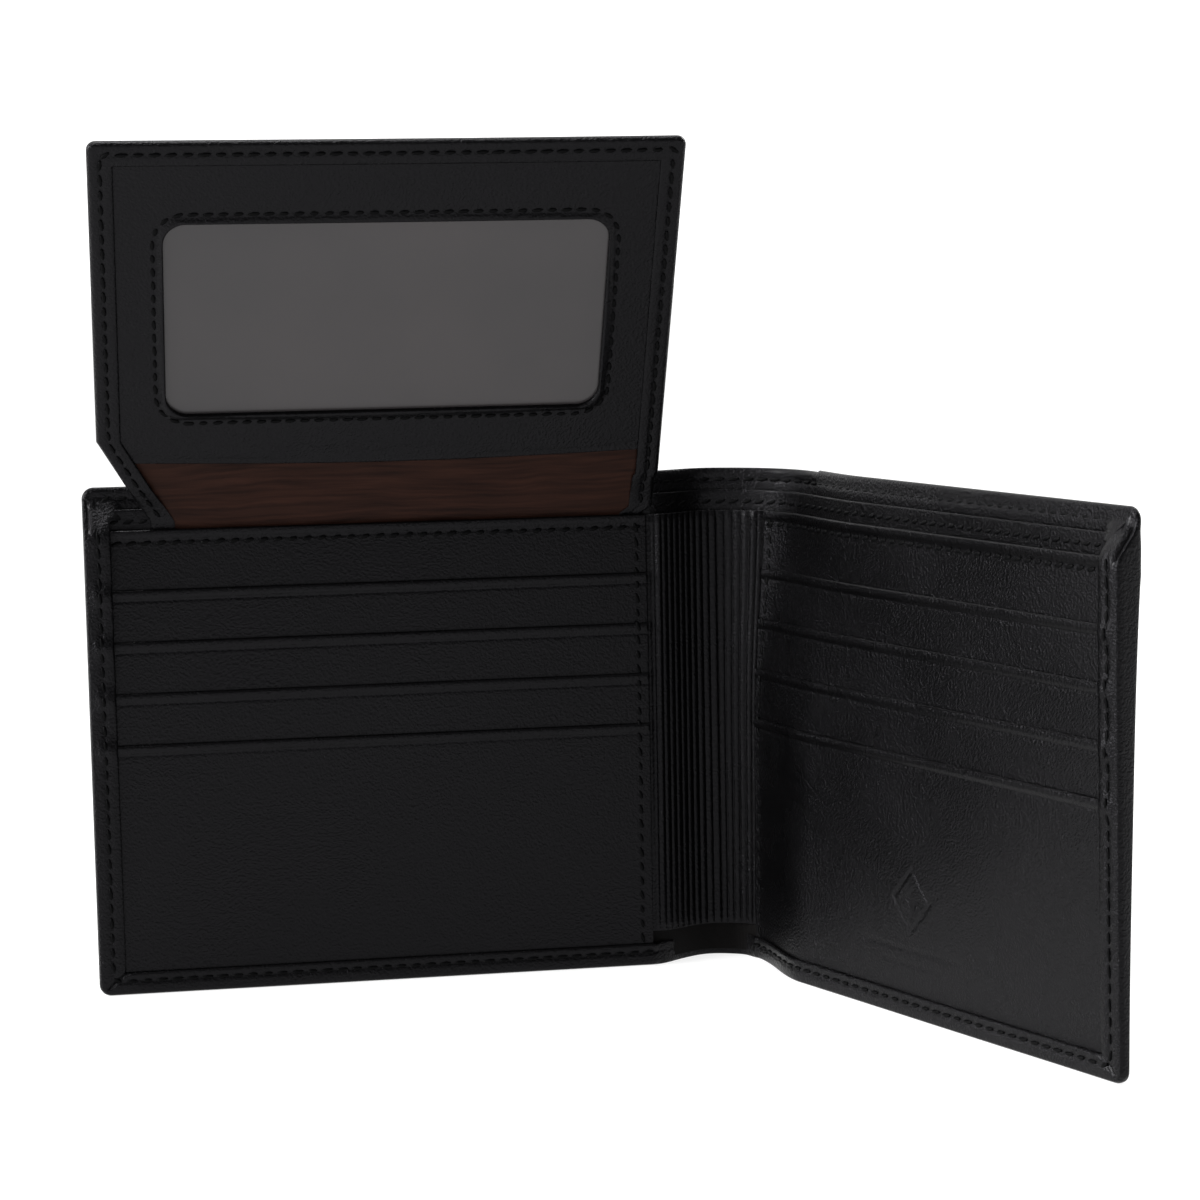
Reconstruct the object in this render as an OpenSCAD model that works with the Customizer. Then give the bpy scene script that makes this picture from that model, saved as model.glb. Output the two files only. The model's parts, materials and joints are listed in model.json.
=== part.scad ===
// Bifold wallet with ribbed gusset and a flip-up window flap, standing half open.
// Millimetres. +Z is up. The origin is on the standing face, at the foot of the
// spine leather's middle. +X runs along the left half, away from its outer edge,
// and +Y points behind the wallet. A half is drawn as u (outwards from its fold
// line), depth (inwards from the shell's outer face) and z.

/* [Overall] */
// Height of the shell
shell_h = 95; // [85:1:115]
// Width of one half, from the end of its flat panel by the spine to its outer edge
panel_w = 106; // [96:1:128]
// Distance between the two fold lines of the spine
spine_w = 17.6; // [16:0.2:26]
// Distance from a fold line to where a half's flat panel begins
fold_inset = 4.8; // [4:0.1:8]
// How far the spine leather bows out behind the two fold lines
spine_rise = 2.8; // [1.6:0.1:4]
// Radius of the shell's outer corners
corner_r = 3; // [1:0.5:4]

/* [Pose at rest] */
// Turn of the spine from the left half's plane
spine_turn = 8; // [0:1:20]
// Angle that the right half is folded in from the left half's plane
half_turn = 69; // [30:1:90]
// Forward tilt of the flap from upright
flap_tilt = 27; // [5:1:60]

/* [Leather and linings] */
// Thickness of the shell leather
leather_t = 0.9; // [0.7:0.05:1.2]
// Thickness of the stiffener behind each half's lining
stiffener_t = 0.25; // [0.15:0.05:0.4]
// Thickness of the note compartment's lining
lining_t = 0.2; // [0.1:0.05:0.4]
// Thickness of the sheet that divides the note compartment
divider_t = 0.5; // [0.3:0.05:0.8]
// Thickness of the binding on the divider's top edge
trim_t = 0.2; // [0.1:0.05:0.2]
// Thickness of the flap's sewn root
tongue_t = 0.6; // [0.4:0.05:0.9]
// Thickness of the sheet behind the card pockets
backing_t = 0.35; // [0.2:0.05:0.6]
// Thickness of one card pocket
pocket_t = 0.3; // [0.2:0.05:0.5]
// Thickness of the shell's turned and thinned hem
hem_t = 0.6; // [0.4:0.05:0.9]
// Free depth of each note compartment when it is empty
note_gap = 0.3; // [0.25:0.05:1]
// Free depth between two pocket sheets
sheet_gap = 0.025; // [0.02:0.005:0.1]

/* [Card panels] */
// Distance from the shell's top edge down to the card panels' top edge
card_drop = 7.9; // [6:0.1:12]
// Distance from the shell's top edge down to the divider's top edge
divider_drop = 4.4; // [2:0.1:5.5]
// Depth of the divider's bound top edge
trim_h = 4.6; // [3:0.1:8]
// Distance from the card panels' top edge down to the first pocket's mouth
slot_drop = 11.1; // [8:0.1:14]
// Step from one pocket's mouth to the next
slot_pitch = 9.6; // [7:0.1:11]
// Height of a pocket sheet from its mouth to its sewn foot
pocket_h = 52; // [46:1:56]
// Distance from the left fold line to the left card panel's inner edge
card_in_left = 5.6; // [5:0.1:9]
// Distance from the right fold line to the right card panel's inner edge
card_in_right = 3.4; // [3:0.1:9]
// Width of the hem along a half's outer edge
side_hem_w = 5; // [4:0.1:8]
// Height of the hem along a half's foot
foot_hem_h = 4.3; // [3.5:0.1:7]
// Depth of the hem turned in at the shell's top edge
top_hem_h = 6; // [4:0.1:8]

/* [Gusset] */
// Number of pressed ribs across the gusset
rib_count = 17; // [9:1:23]
// Radius of one rib
rib_r = 0.42; // [0.3:0.02:0.5]
// Thickness of the gusset's sheet
gusset_t = 0.4; // [0.3:0.05:0.7]
// How far the gusset bows back between the two card panels
gusset_rise = 1.6; // [0.6:0.1:2]
// Height of the gusset's foot above the standing face
gusset_foot = 6.5; // [3:0.5:12]

/* [Window flap] */
// Height above the standing face at which the folded flap ends
flap_short = 10.5; // [6:0.5:20]
// Distance from the left fold line to the flap's inner edge
flap_in = 4; // [3.6:0.1:8]
// Distance from the half's outer edge to the flap's outer edge
flap_out = 3; // [1:0.1:8]
// Height of the flap's fold line above the card panels' top edge
flap_axis_up = 0.4; // [0.3:0.05:1]
// Distance of the flap's hem behind its fold line, when the flap is upright
flap_set = 0.7; // [0.6:0.05:1.2]
// Height above the fold line at which the flap's stiff part begins
flap_foot = 0.3; // [0.2:0.05:1]
// Height of the flap's root that is sewn in behind the left card panel
tongue_h = 12; // [8:0.5:20]
// Height above the fold line at which the flap's outer edge begins
shoulder_h = 18; // [12:0.5:24]
// Height above the fold line at which the flap's inner edge begins
notch_h = 8; // [4:0.5:12]
// Width that the flap's root is narrower at its outer end
neck_step_out = 9.4; // [6:0.1:14]
// Width that the flap's root is narrower at its inner end
neck_step_in = 1.6; // [1:0.1:4]
// Thickness of the flap's back leather
flap_back_t = 0.75; // [0.6:0.05:1]
// Thickness of the flap's satin lining
flap_lining_t = 0.2; // [0.1:0.05:0.4]
// Thickness of the window's clear film
film_t = 0.15; // [0.1:0.05:0.3]
// Thickness of the leather that frames the window
window_panel_t = 0.4; // [0.3:0.05:0.6]
// Thickness of the flap's turned hem
flap_hem_t = 0.4; // [0.3:0.05:0.6]
// Width of the flap's turned hem
flap_hem_w = 4.4; // [3:0.1:7]
// Distance from the flap's outer and inner edges to the window
window_side = 12.6; // [8:0.1:20]
// Distance from the flap's free edge to the window
window_head = 15.5; // [9:0.1:22]
// Free depth between the film and the flap's lining
film_gap = 0.1; // [0.05:0.05:0.3]
// Width of the film that lies behind the window's frame
film_border = 4; // [2:0.5:6]
// Radius of the window's corners
window_r = 4; // [2:0.5:6]
// Height above the fold line of the window's lower edge
window_foot = 23.3; // [20:0.1:28]
// Height above the fold line of the window panel's lower edge
panel_foot = 13; // [9:0.5:17]

/* [Sewing] */
// Distance of a hem's sewing from the edge
seam_in = 2.7; // [1.5:0.1:3.2]
// Distance of a card panel's sewing from its edge
card_seam_in = 2; // [1.2:0.1:3]
// Distance of the window's sewing from the window's edge
window_seam_out = 1.8; // [1.2:0.1:3]
// How far a row of sewing stops short of an edge
seam_end = 1; // [0.5:0.1:3]
// Width of a sewing thread
thread_w = 0.4; // [0.3:0.05:0.6]
// How far a thread stands out of the leather
thread_up = 0.15; // [0.1:0.05:0.2]

/* [Clearances] */
// Free space from a fold line to the stiff leather on each side of it
fold_gap = 0.6; // [0.55:0.05:1]
// Extra space by which an inner layer stays back from a fold line
layer_gap = 0.45; // [0.35:0.05:0.8]
// Space between a sheet's edge and the shell's turned edge
edge_gap = 0.2; // [0.1:0.05:0.5]
// Space between the gusset's edges and what they tuck behind
gusset_gap = 0.4; // [0.3:0.05:0.8]
// Space between the folded flap and the hem that it lies on
flap_gap = 0.55; // [0.4:0.05:1]

/* [Hidden] */
$fn = 64;

// Pockets on each card panel, from the top one down
POCKETS = 4;
black_leather = [0.08, 0.08, 0.085];
pocket_leather = [0.11, 0.11, 0.115];
lining_colour = [0.16, 0.15, 0.15];
board_colour = [0.45, 0.38, 0.30];
satin_brown = [0.36, 0.25, 0.19];
thread_colour = [0.18, 0.18, 0.19];
film_colour = [0.62, 0.62, 0.62, 0.6];

// Depth at which each layer begins, counted from the shell's outer face
stiffener_d = leather_t;
lining_d = stiffener_d + stiffener_t;
divider_d = lining_d + lining_t + note_gap;
tongue_d = divider_d + divider_t + note_gap;
backing_d = tongue_d + tongue_t;
pocket_step = pocket_t + sheet_gap;
pocket_d = backing_d + backing_t + sheet_gap;
hem_d = pocket_d + POCKETS * pocket_step;
face_d = hem_d + hem_t;

// Widths and heights shared by a half's layers
outer_u = fold_inset + panel_w;
sheet_u = outer_u - leather_t - edge_gap;
sheet_z = leather_t + edge_gap;
card_top = shell_h - card_drop;
divider_top = shell_h - divider_drop;
slot_top = card_top - slot_drop;
lining_z = shell_h - top_hem_h - edge_gap;
// Distance that keeps a layer's inner face clear of the other side of a closed fold
function setback(inner_d) = inner_d - leather_t / 2 + layer_gap;

// Fold lines, seen from above
function turned(v, a) = [v.x * cos(a) - v.y * sin(a), v.x * sin(a) + v.y * cos(a)];
left_axis = -turned([spine_w / 2, spine_rise], spine_turn);
right_axis = left_axis + turned([spine_w, 0], spine_turn);

// The flap's fold line and the distance of its layers behind that line
flap_axis_d = face_d + thread_up + flap_gap - flap_set;
flap_axis_z = card_top + flap_axis_up;
flap_h = flap_axis_z - flap_short;
window_panel_q = flap_set + flap_hem_t;
film_q = window_panel_q + window_panel_t;
flap_lining_q = film_q + film_t + film_gap;
flap_back_q = flap_lining_q + flap_lining_t;
flap_u0 = flap_in;
flap_u1 = outer_u - flap_out;
neck_u0 = flap_u0 + neck_step_in;
neck_u1 = flap_u1 - neck_step_out;
window_w = flap_u1 - flap_u0 - 2 * window_side;
window_h = flap_h - window_head - window_foot;
window_u0 = flap_u0 + window_side;

// ---------------------------------------------------------------- placing

// Children drawn on the left half's fold line, with u running outwards
module on_left() {
  translate([left_axis.x, left_axis.y, 0]) mirror([1, 0, 0]) children();
}

// Children drawn on the right half's fold line, with u running outwards
module on_right() {
  translate([right_axis.x, right_axis.y, 0]) rotate([0, 0, -half_turn]) children();
}

// Children drawn on the spine, with x running from the left to the right fold line
module on_spine() {
  translate([left_axis.x, left_axis.y, 0]) rotate([0, 0, spine_turn]) children();
}

// Children drawn on the flap's fold line, with z running up the flap
module on_flap() {
  on_left()
    translate([0, leather_t / 2 - flap_axis_d, flap_axis_z])
      rotate([flap_tilt, 0, 0]) children();
}

// A flat outline given its thickness at a depth inside a half
module layer(depth, thick) {
  translate([0, leather_t / 2 - depth, 0])
    rotate([90, 0, 0]) linear_extrude(thick) children();
}

// A flat outline given its thickness behind the flap's fold line
module flap_layer(behind, thick) {
  translate([0, behind + thick, 0]) rotate([90, 0, 0]) linear_extrude(thick) children();
}

// ---------------------------------------------------------------- outlines

// The corner of a square that a round of radius r takes off, pointing to +x +y
module corner_off(r) {
  difference() {
    square([r + 1, r + 1]);
    circle(r);
  }
}

// A sheet from u0 to u1 and z0 to z1, with its two outer corners rounded
module sheet(u0, u1, z0, z1, r_foot = 0, r_top = 0) {
  difference() {
    translate([u0, z0]) square([u1 - u0, z1 - z0]);
    if (r_top > 0) translate([u1 - r_top, z1 - r_top]) corner_off(r_top);
    if (r_foot > 0) translate([u1 - r_foot, z0 + r_foot]) mirror([0, 1]) corner_off(r_foot);
  }
}

// A box with four rounded corners
module round_box(w, h, r) {
  translate([r, 0]) square([w - 2 * r, h]);
  translate([0, r]) square([w, h - 2 * r]);
  for (x = [r, w - r], y = [r, h - r]) translate([x, y]) circle(r);
}

// The flap's outline above its fold line
module flap_outline(inset = 0) {
  difference() {
    polygon([
      [neck_u0, flap_foot], [neck_u1, flap_foot], [flap_u1 - inset, shoulder_h],
      [flap_u1 - inset, flap_h - inset], [flap_u0 + inset, flap_h - inset],
      [flap_u0 + inset, notch_h]
    ]);
    r = corner_r - inset;
    if (r > 0) {
      translate([flap_u1 - inset - r, flap_h - inset - r]) corner_off(r);
      translate([flap_u0 + inset + r, flap_h - inset - r]) mirror([1, 0]) corner_off(r);
    }
  }
}

// ---------------------------------------------------------------- the two halves

// Outer leather of a half: its face, its turned edges and the hems over the card panel
module half_shell(card_in) {
  r_in = max(corner_r - leather_t, 0);
  layer(0, leather_t) sheet(fold_gap, outer_u, 0, shell_h, corner_r, corner_r);
  layer(leather_t, hem_d - leather_t) difference() {
    sheet(card_in, outer_u, 0, card_top, corner_r);
    sheet(card_in - 1, outer_u - leather_t, leather_t, card_top + 1, r_in);
  }
  layer(hem_d, hem_t) difference() {
    sheet(card_in, outer_u, 0, card_top, corner_r);
    sheet(card_in - 1, outer_u - side_hem_w, foot_hem_h, card_top + 1);
  }
  layer(leather_t, stiffener_t + lining_t)
    sheet(setback(divider_d), outer_u, shell_h - top_hem_h, shell_h, 0, corner_r);
}

// Fibre sheet that keeps a half flat, between shell and lining
module half_stiffener() {
  layer(stiffener_d, stiffener_t)
    sheet(setback(lining_d) + edge_gap, sheet_u, sheet_z, lining_z, corner_r - leather_t);
}

// Woven lining of the note compartment
module half_lining() {
  layer(lining_d, lining_t)
    sheet(setback(lining_d + lining_t), sheet_u, sheet_z, lining_z, corner_r - leather_t);
}

// Sheet that parts the note compartment in two
module half_divider() {
  layer(divider_d, divider_t)
    sheet(setback(divider_d + divider_t), sheet_u, sheet_z, divider_top, corner_r - leather_t);
}

// Bound top edge of the divider
module half_divider_trim() {
  layer(divider_d + divider_t, trim_t)
    sheet(setback(divider_d + divider_t) + edge_gap, sheet_u,
          divider_top - trim_h, divider_top);
}

// Sheet that all card pockets of a half are sewn to
module half_backing(card_in) {
  layer(backing_d, backing_t)
    sheet(card_in, sheet_u, sheet_z, card_top, corner_r - leather_t);
}

// One card pocket, counted from 1 at the top
module half_pocket(card_in, number) {
  mouth_z = slot_top - (number - 1) * slot_pitch;
  foot_z = max(sheet_z, mouth_z - pocket_h);
  layer(pocket_d + (number - 1) * pocket_step, pocket_t)
    sheet(card_in, sheet_u, foot_z, mouth_z, foot_z == sheet_z ? corner_r - leather_t : 0);
}

// Sewing that runs down a half's outer hem and along its foot hem
module half_shell_seam(card_in) {
  layer(face_d, thread_up) {
    sheet(outer_u - seam_in - thread_w, outer_u - seam_in, seam_in, card_top - seam_end);
    sheet(card_in + seam_end, outer_u - seam_in, seam_in, seam_in + thread_w);
  }
}

// Sewing along a card panel's top and inner edge
module half_card_seam(card_in) {
  last_face_d = pocket_d + POCKETS * pocket_step - sheet_gap;
  layer(backing_d + backing_t, thread_up)
    sheet(card_in + card_seam_in, sheet_u - edge_gap,
          card_top - card_seam_in - thread_w, card_top - card_seam_in);
  layer(last_face_d, thread_up)
    sheet(card_in + card_seam_in, card_in + card_seam_in + thread_w, foot_hem_h + seam_end,
          slot_top - (POCKETS - 1) * slot_pitch - seam_end);
}

module shell_left() { color(black_leather) on_left() half_shell(card_in_left); }
module stiffener_left() { color(board_colour) on_left() half_stiffener(); }
module lining_left() { color(lining_colour) on_left() half_lining(); }
module divider_left() { color(lining_colour) on_left() half_divider(); }
module divider_trim_left() { color(black_leather) on_left() half_divider_trim(); }
module card_backing_left() { color(pocket_leather) on_left() half_backing(card_in_left); }
module card_pocket_left(number) {
  color(pocket_leather) on_left() half_pocket(card_in_left, number);
}
module seam_shell_left() { color(thread_colour) on_left() half_shell_seam(card_in_left); }
module seam_card_left() { color(thread_colour) on_left() half_card_seam(card_in_left); }

module shell_right() { color(black_leather) on_right() half_shell(card_in_right); }
module stiffener_right() { color(board_colour) on_right() half_stiffener(); }
module lining_right() { color(lining_colour) on_right() half_lining(); }
module divider_right() { color(lining_colour) on_right() half_divider(); }
module divider_trim_right() { color(black_leather) on_right() half_divider_trim(); }
module card_backing_right() { color(pocket_leather) on_right() half_backing(card_in_right); }
module card_pocket_right(number) {
  color(pocket_leather) on_right() half_pocket(card_in_right, number);
}
module seam_shell_right() { color(thread_colour) on_right() half_shell_seam(card_in_right); }
module seam_card_right() { color(thread_colour) on_right() half_card_seam(card_in_right); }

// ---------------------------------------------------------------- the spine

// Radius of an arc over a chord with a given rise
function arc_r(chord, rise) = (chord * chord / 4 + rise * rise) / (2 * rise);

// An upright sheet that bows from p0 to p1, seen from above. Its middle lies inset
// inside that bow, and it is cut back at both ends.
module bowed_sheet(p0, p1, rise, inset, thick, cut, z0, z1) {
  chord = norm(p1 - p0);
  r = arc_r(chord, rise);
  r_mid = r - inset;
  low = inset + 2 * thick;
  translate([p0.x, p0.y, z0]) rotate([0, 0, atan2(p1.y - p0.y, p1.x - p0.x)])
    intersection() {
      translate([chord / 2, rise - r, 0]) difference() {
        cylinder(r = r_mid + thick / 2, h = z1 - z0);
        translate([0, 0, -1]) cylinder(r = r_mid - thick / 2, h = z1 - z0 + 2);
      }
      translate([cut, -low, -1]) cube([chord - 2 * cut, low + rise + thick, z1 - z0 + 2]);
    }
}

// A spine layer that lies along the shell's bow, at a depth inside it
module spine_layer(depth, thick, z0, z1, extra_cut = 0) {
  cut = max(fold_gap, setback(depth + thick)) + extra_cut;
  bowed_sheet([0, 0], [spine_w, 0], spine_rise, depth + thick / 2 - leather_t / 2,
              thick, cut, z0, z1);
}

// Outer leather between the two folds
module shell_spine() {
  color(black_leather) on_spine()
    bowed_sheet([0, 0], [spine_w, 0], spine_rise, 0, leather_t, fold_gap, 0, shell_h);
}

// Woven lining behind the spine leather
module lining_spine() {
  color(lining_colour) on_spine()
    spine_layer(leather_t, lining_t, sheet_z, lining_z);
}

// Divider sheet where it passes the spine
module divider_spine() {
  color(lining_colour) on_spine()
    spine_layer(divider_d, divider_t, sheet_z, divider_top);
}

// Bound top edge of the divider where it passes the spine
module divider_trim_spine() {
  color(black_leather) on_spine()
    spine_layer(divider_d + divider_t, trim_t, divider_top - trim_h, divider_top, edge_gap);
}

// Place on the spine of a point of the left half, given as u and depth
function left_on_spine(u, d) =
  turned([-u, leather_t / 2 - d], -spine_turn);

// Place on the spine of a point of the right half, given as u and depth
function right_on_spine(u, d) =
  [spine_w, 0] + turned([u, leather_t / 2 - d], -half_turn - spine_turn);

// Ribbed gusset between the inner edges of the two card panels
module ribbed_gusset() {
  mid_d = (pocket_d + hem_d) / 2;
  p0 = left_on_spine(card_in_left - gusset_gap - rib_r, mid_d);
  p1 = right_on_spine(card_in_right - gusset_gap - rib_r, mid_d)
       - [rib_r + gusset_gap, 0];
  chord = norm(p1 - p0);
  r = arc_r(chord, gusset_rise);
  half_angle = asin(chord / 2 / r);
  color(black_leather) on_spine() {
    bowed_sheet(p0, p1, gusset_rise, 0, gusset_t, 0, gusset_foot, card_top);
    translate([p0.x, p0.y, gusset_foot])
      rotate([0, 0, atan2(p1.y - p0.y, p1.x - p0.x)])
        translate([chord / 2, gusset_rise - r, 0])
          for (i = [0:rib_count - 1])
            rotate([0, 0, 90 + half_angle * (1 - 2 * (i + 0.5) / rib_count)])
              translate([r, 0, 0]) cylinder(r = rib_r, h = card_top - gusset_foot, $fn = 24);
  }
}

// ---------------------------------------------------------------- the flap

// Flap leather's root, sewn in behind the left card panel
module flap_tongue() {
  color(black_leather) on_left() layer(tongue_d, tongue_t)
    sheet(neck_u0, neck_u1, card_top - tongue_h, card_top - edge_gap);
}

// Outer leather of the flap, with its turned edges
module flap_back() {
  color(black_leather) on_flap() {
    flap_layer(flap_back_q, flap_back_t) flap_outline();
    flap_layer(window_panel_q, flap_back_q - window_panel_q) difference() {
      flap_outline();
      flap_outline(flap_back_t);
      translate([0, -1]) square([outer_u, shoulder_h + 1]);
    }
  }
}

// Hem of the flap's leather, turned over the window panel's border
module flap_hem() {
  color(black_leather) on_flap() flap_layer(flap_set, flap_hem_t) difference() {
    flap_outline();
    translate([flap_u0 + flap_hem_w, -1])
      square([flap_u1 - flap_u0 - 2 * flap_hem_w, flap_h - flap_hem_w + 1]);
    translate([0, -1]) square([outer_u, panel_foot + 1]);
  }
}

// Satin lining on the inner side of the flap
module flap_lining() {
  color(satin_brown) on_flap() flap_layer(flap_lining_q, flap_lining_t)
    flap_outline(flap_back_t + edge_gap);
}

// Leather frame around the window, open at its foot as a pocket
module flap_window_panel() {
  inset = flap_back_t + edge_gap;
  color(pocket_leather) on_flap() flap_layer(window_panel_q, window_panel_t)
    difference() {
      intersection() {
        flap_outline(inset);
        translate([0, panel_foot]) square([outer_u, flap_h]);
      }
      translate([window_u0, window_foot]) round_box(window_w, window_h, window_r);
    }
}

// Clear film behind the window
module flap_window_film() {
  color(film_colour) on_flap() flap_layer(film_q, film_t)
    translate([window_u0 - film_border, window_foot - film_border])
      square([window_w + 2 * film_border, window_h + 2 * film_border]);
}

// Sewing around the flap's hem
module seam_flap() {
  side = flap_hem_w / 2;
  color(thread_colour) on_flap() flap_layer(flap_set - thread_up, thread_up) {
    for (u = [flap_u0 + side, flap_u1 - side - thread_w])
      sheet(u, u + thread_w, shoulder_h, flap_h - side);
    sheet(flap_u0 + side, flap_u1 - side, flap_h - side - thread_w, flap_h - side);
  }
}

// Sewing around the window
module seam_window() {
  out = window_seam_out;
  inner = out - thread_w;
  color(thread_colour) on_flap() flap_layer(window_panel_q - thread_up, thread_up)
    translate([window_u0 - out, window_foot - out]) difference() {
      round_box(window_w + 2 * out, window_h + 2 * out, window_r + out);
      translate([thread_w, thread_w])
        round_box(window_w + 2 * inner, window_h + 2 * inner, window_r + inner);
    }
}

shell_left();
stiffener_left();
lining_left();
divider_left();
divider_trim_left();
card_backing_left();
card_pocket_left(1);  // card_pocket_left_1
card_pocket_left(2);  // card_pocket_left_2
card_pocket_left(3);  // card_pocket_left_3
card_pocket_left(4);  // card_pocket_left_4
seam_shell_left();
seam_card_left();
flap_tongue();
shell_spine();
lining_spine();
divider_spine();
divider_trim_spine();
ribbed_gusset();
shell_right();
stiffener_right();
lining_right();
divider_right();
divider_trim_right();
card_backing_right();
card_pocket_right(1);  // card_pocket_right_1
card_pocket_right(2);  // card_pocket_right_2
card_pocket_right(3);  // card_pocket_right_3
card_pocket_right(4);  // card_pocket_right_4
seam_shell_right();
seam_card_right();
flap_back();
flap_lining();
flap_window_panel();
flap_window_film();
flap_hem();
seam_flap();
seam_window();
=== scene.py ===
"""Looks of a leather bifold wallet that stands half open, with its window flap raised.

Every piece is laid out in leaf coordinates, in millimetres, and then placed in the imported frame:
a half has u (outwards from its fold line), depth (inwards from the shell's outer face) and z, and
the flap has u, depth (forwards from its back leather) and l (up along it from its fold line).
"""

import json
import logging
import math
from dataclasses import dataclass, field
from enum import Enum
from typing import Callable, Sequence

import bmesh
import bpy
import numpy as np
from mathutils import Matrix, Vector


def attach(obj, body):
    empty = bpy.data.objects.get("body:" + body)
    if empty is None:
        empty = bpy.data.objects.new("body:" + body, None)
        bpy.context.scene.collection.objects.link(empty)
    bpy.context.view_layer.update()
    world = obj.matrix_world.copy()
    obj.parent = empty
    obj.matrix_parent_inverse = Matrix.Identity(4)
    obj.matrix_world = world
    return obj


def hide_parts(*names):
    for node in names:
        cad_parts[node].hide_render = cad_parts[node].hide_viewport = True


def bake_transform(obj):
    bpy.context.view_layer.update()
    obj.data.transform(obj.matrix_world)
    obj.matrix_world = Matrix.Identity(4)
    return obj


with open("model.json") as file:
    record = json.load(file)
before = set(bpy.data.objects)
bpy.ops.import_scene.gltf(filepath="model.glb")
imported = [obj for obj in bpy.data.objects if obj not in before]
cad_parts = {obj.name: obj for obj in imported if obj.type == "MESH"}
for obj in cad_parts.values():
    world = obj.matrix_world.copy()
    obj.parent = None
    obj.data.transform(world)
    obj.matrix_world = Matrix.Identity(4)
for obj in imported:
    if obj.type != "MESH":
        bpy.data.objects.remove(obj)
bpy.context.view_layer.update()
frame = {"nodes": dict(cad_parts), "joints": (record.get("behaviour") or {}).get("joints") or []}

MM = 0.001
LOG = logging.getLogger("wallet")
Array = np.ndarray
Socket = bpy.types.NodeSocket
Piece = bpy.types.Object
Place = Callable[[Array, Array, Array], Array]
Face = Callable[[Array, Array], Array] | float

SHARP_FROM = math.radians(52.0)
BEND_TURNS = np.radians(np.linspace(-90.0, 90.0, 15))[1:]
HEM_SHARES = np.array([0.12, 0.24, 0.34, 0.42, 0.5, 0.58, 0.68, 0.8, 0.9, 0.96, 1.0])
TO_LIP = [0.0, 0.004, 0.015, 0.035, 0.07, 0.12, 0.2, 0.3, 0.45, 0.6, 0.72, 0.8]
TO_LIP += [0.85, 0.89, 0.92, 0.945, 0.965, 0.98, 0.992, 1.0]


# ---------------------------------------------------------------- small tools


def ramp(x: Array | float, low: Array | float, high: Array | float) -> Array:
    """Returns 0 below low and 1 above high, with a smooth step between them."""
    t = np.clip((np.asarray(x, float) - low) / (high - low), 0.0, 1.0)
    return t * t * (3.0 - 2.0 * t)


def curve(t: Array, start: Array, leave: Array, end: Array, arrive: Array) -> Array:
    """Returns points on a smooth curve that leaves its start and reaches its end in given directions."""
    points = start * (2 * t**3 - 3 * t**2 + 1) + leave * (t**3 - 2 * t**2 + t)
    return points + end * (3 * t**2 - 2 * t**3) + arrive * (t**3 - t**2)


def hump(x: Array | float, centre: float, width: float) -> Array:
    """Returns a smooth bump of height 1 at centre, with a standard deviation of width."""
    return np.exp(-(((np.asarray(x, float) - centre) / width) ** 2) / 2.0)


def lines(low: float, high: float, step: float, lip: float = 0.0, fine: Sequence[tuple] = ()) -> Array:
    """Spaces grid lines from low to high.

    Args:
        low: First line.
        high: Last line.
        step: Largest distance between two lines.
        lip: Width at each end in which the lines crowd together, for a rounded edge.
        fine: Stretches (start, stop, step) that need closer lines.

    Returns:
        The lines in rising order.
    """
    crowd = lip * np.array([0.0, 0.08, 0.26, 0.5, 0.75]) if lip else np.zeros(1)
    body = np.linspace(low + lip, high - lip, max(2, math.ceil((high - low - 2 * lip) / step) + 1))
    found = [low + crowd, body, high - crowd]
    for start, stop, pitch in fine:
        start, stop = max(start, low + lip), min(stop, high - lip)
        if stop > start:
            found.append(np.linspace(start, stop, max(2, math.ceil((stop - start) / pitch) + 1)))
    merged = np.sort(np.concatenate(found))
    keep = np.concatenate([[True], np.diff(merged) > 0.012])
    keep[-1] = True
    return merged[keep]


@dataclass
class Net:
    """A closed mesh of quads, and a few triangles, in leaf coordinates (across, depth, up)."""

    points: Array
    faces: Array
    corners: Array | None = None

    def placed(self, place: Place) -> Array:
        """Returns the corners in the frame, in millimetres."""
        return place(self.points[:, 0], self.points[:, 1], self.points[:, 2])


def dense(corners: Sequence, step: float) -> Array:
    """Returns points along the straight lines between corners, no further apart than step."""
    points = [np.asarray(corners[0], float)]
    for start, end in zip(corners[:-1], corners[1:]):
        start, end = np.asarray(start, float), np.asarray(end, float)
        count = max(1, math.ceil(np.linalg.norm(end - start) / step))
        points += [start + (end - start) * (i + 1) / count for i in range(count)]
    return np.array(points)


def inwards(place: Place, u: Array, d: Array, z: Array) -> Array:
    """Returns the directions in which depth grows, at the given leaf coordinates."""
    way = place(u, d + 0.2, z) - place(u, d, z)
    return way / np.linalg.norm(way, axis=1)[:, None]


def add_object(name: str, data: bpy.types.ID) -> Piece:
    """Adds an object with the given data to the scene."""
    thing = bpy.data.objects.new(name, data)
    bpy.context.scene.collection.objects.link(thing)
    return thing


def quads(index: Array) -> Array:
    """Returns the quads between the rows and columns of a 2-D array of corner numbers."""
    a, b, c, d = index[:-1, :-1], index[1:, :-1], index[1:, 1:], index[:-1, 1:]
    return np.stack([a, b, c, d], axis=-1).reshape(-1, 4)


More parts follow.
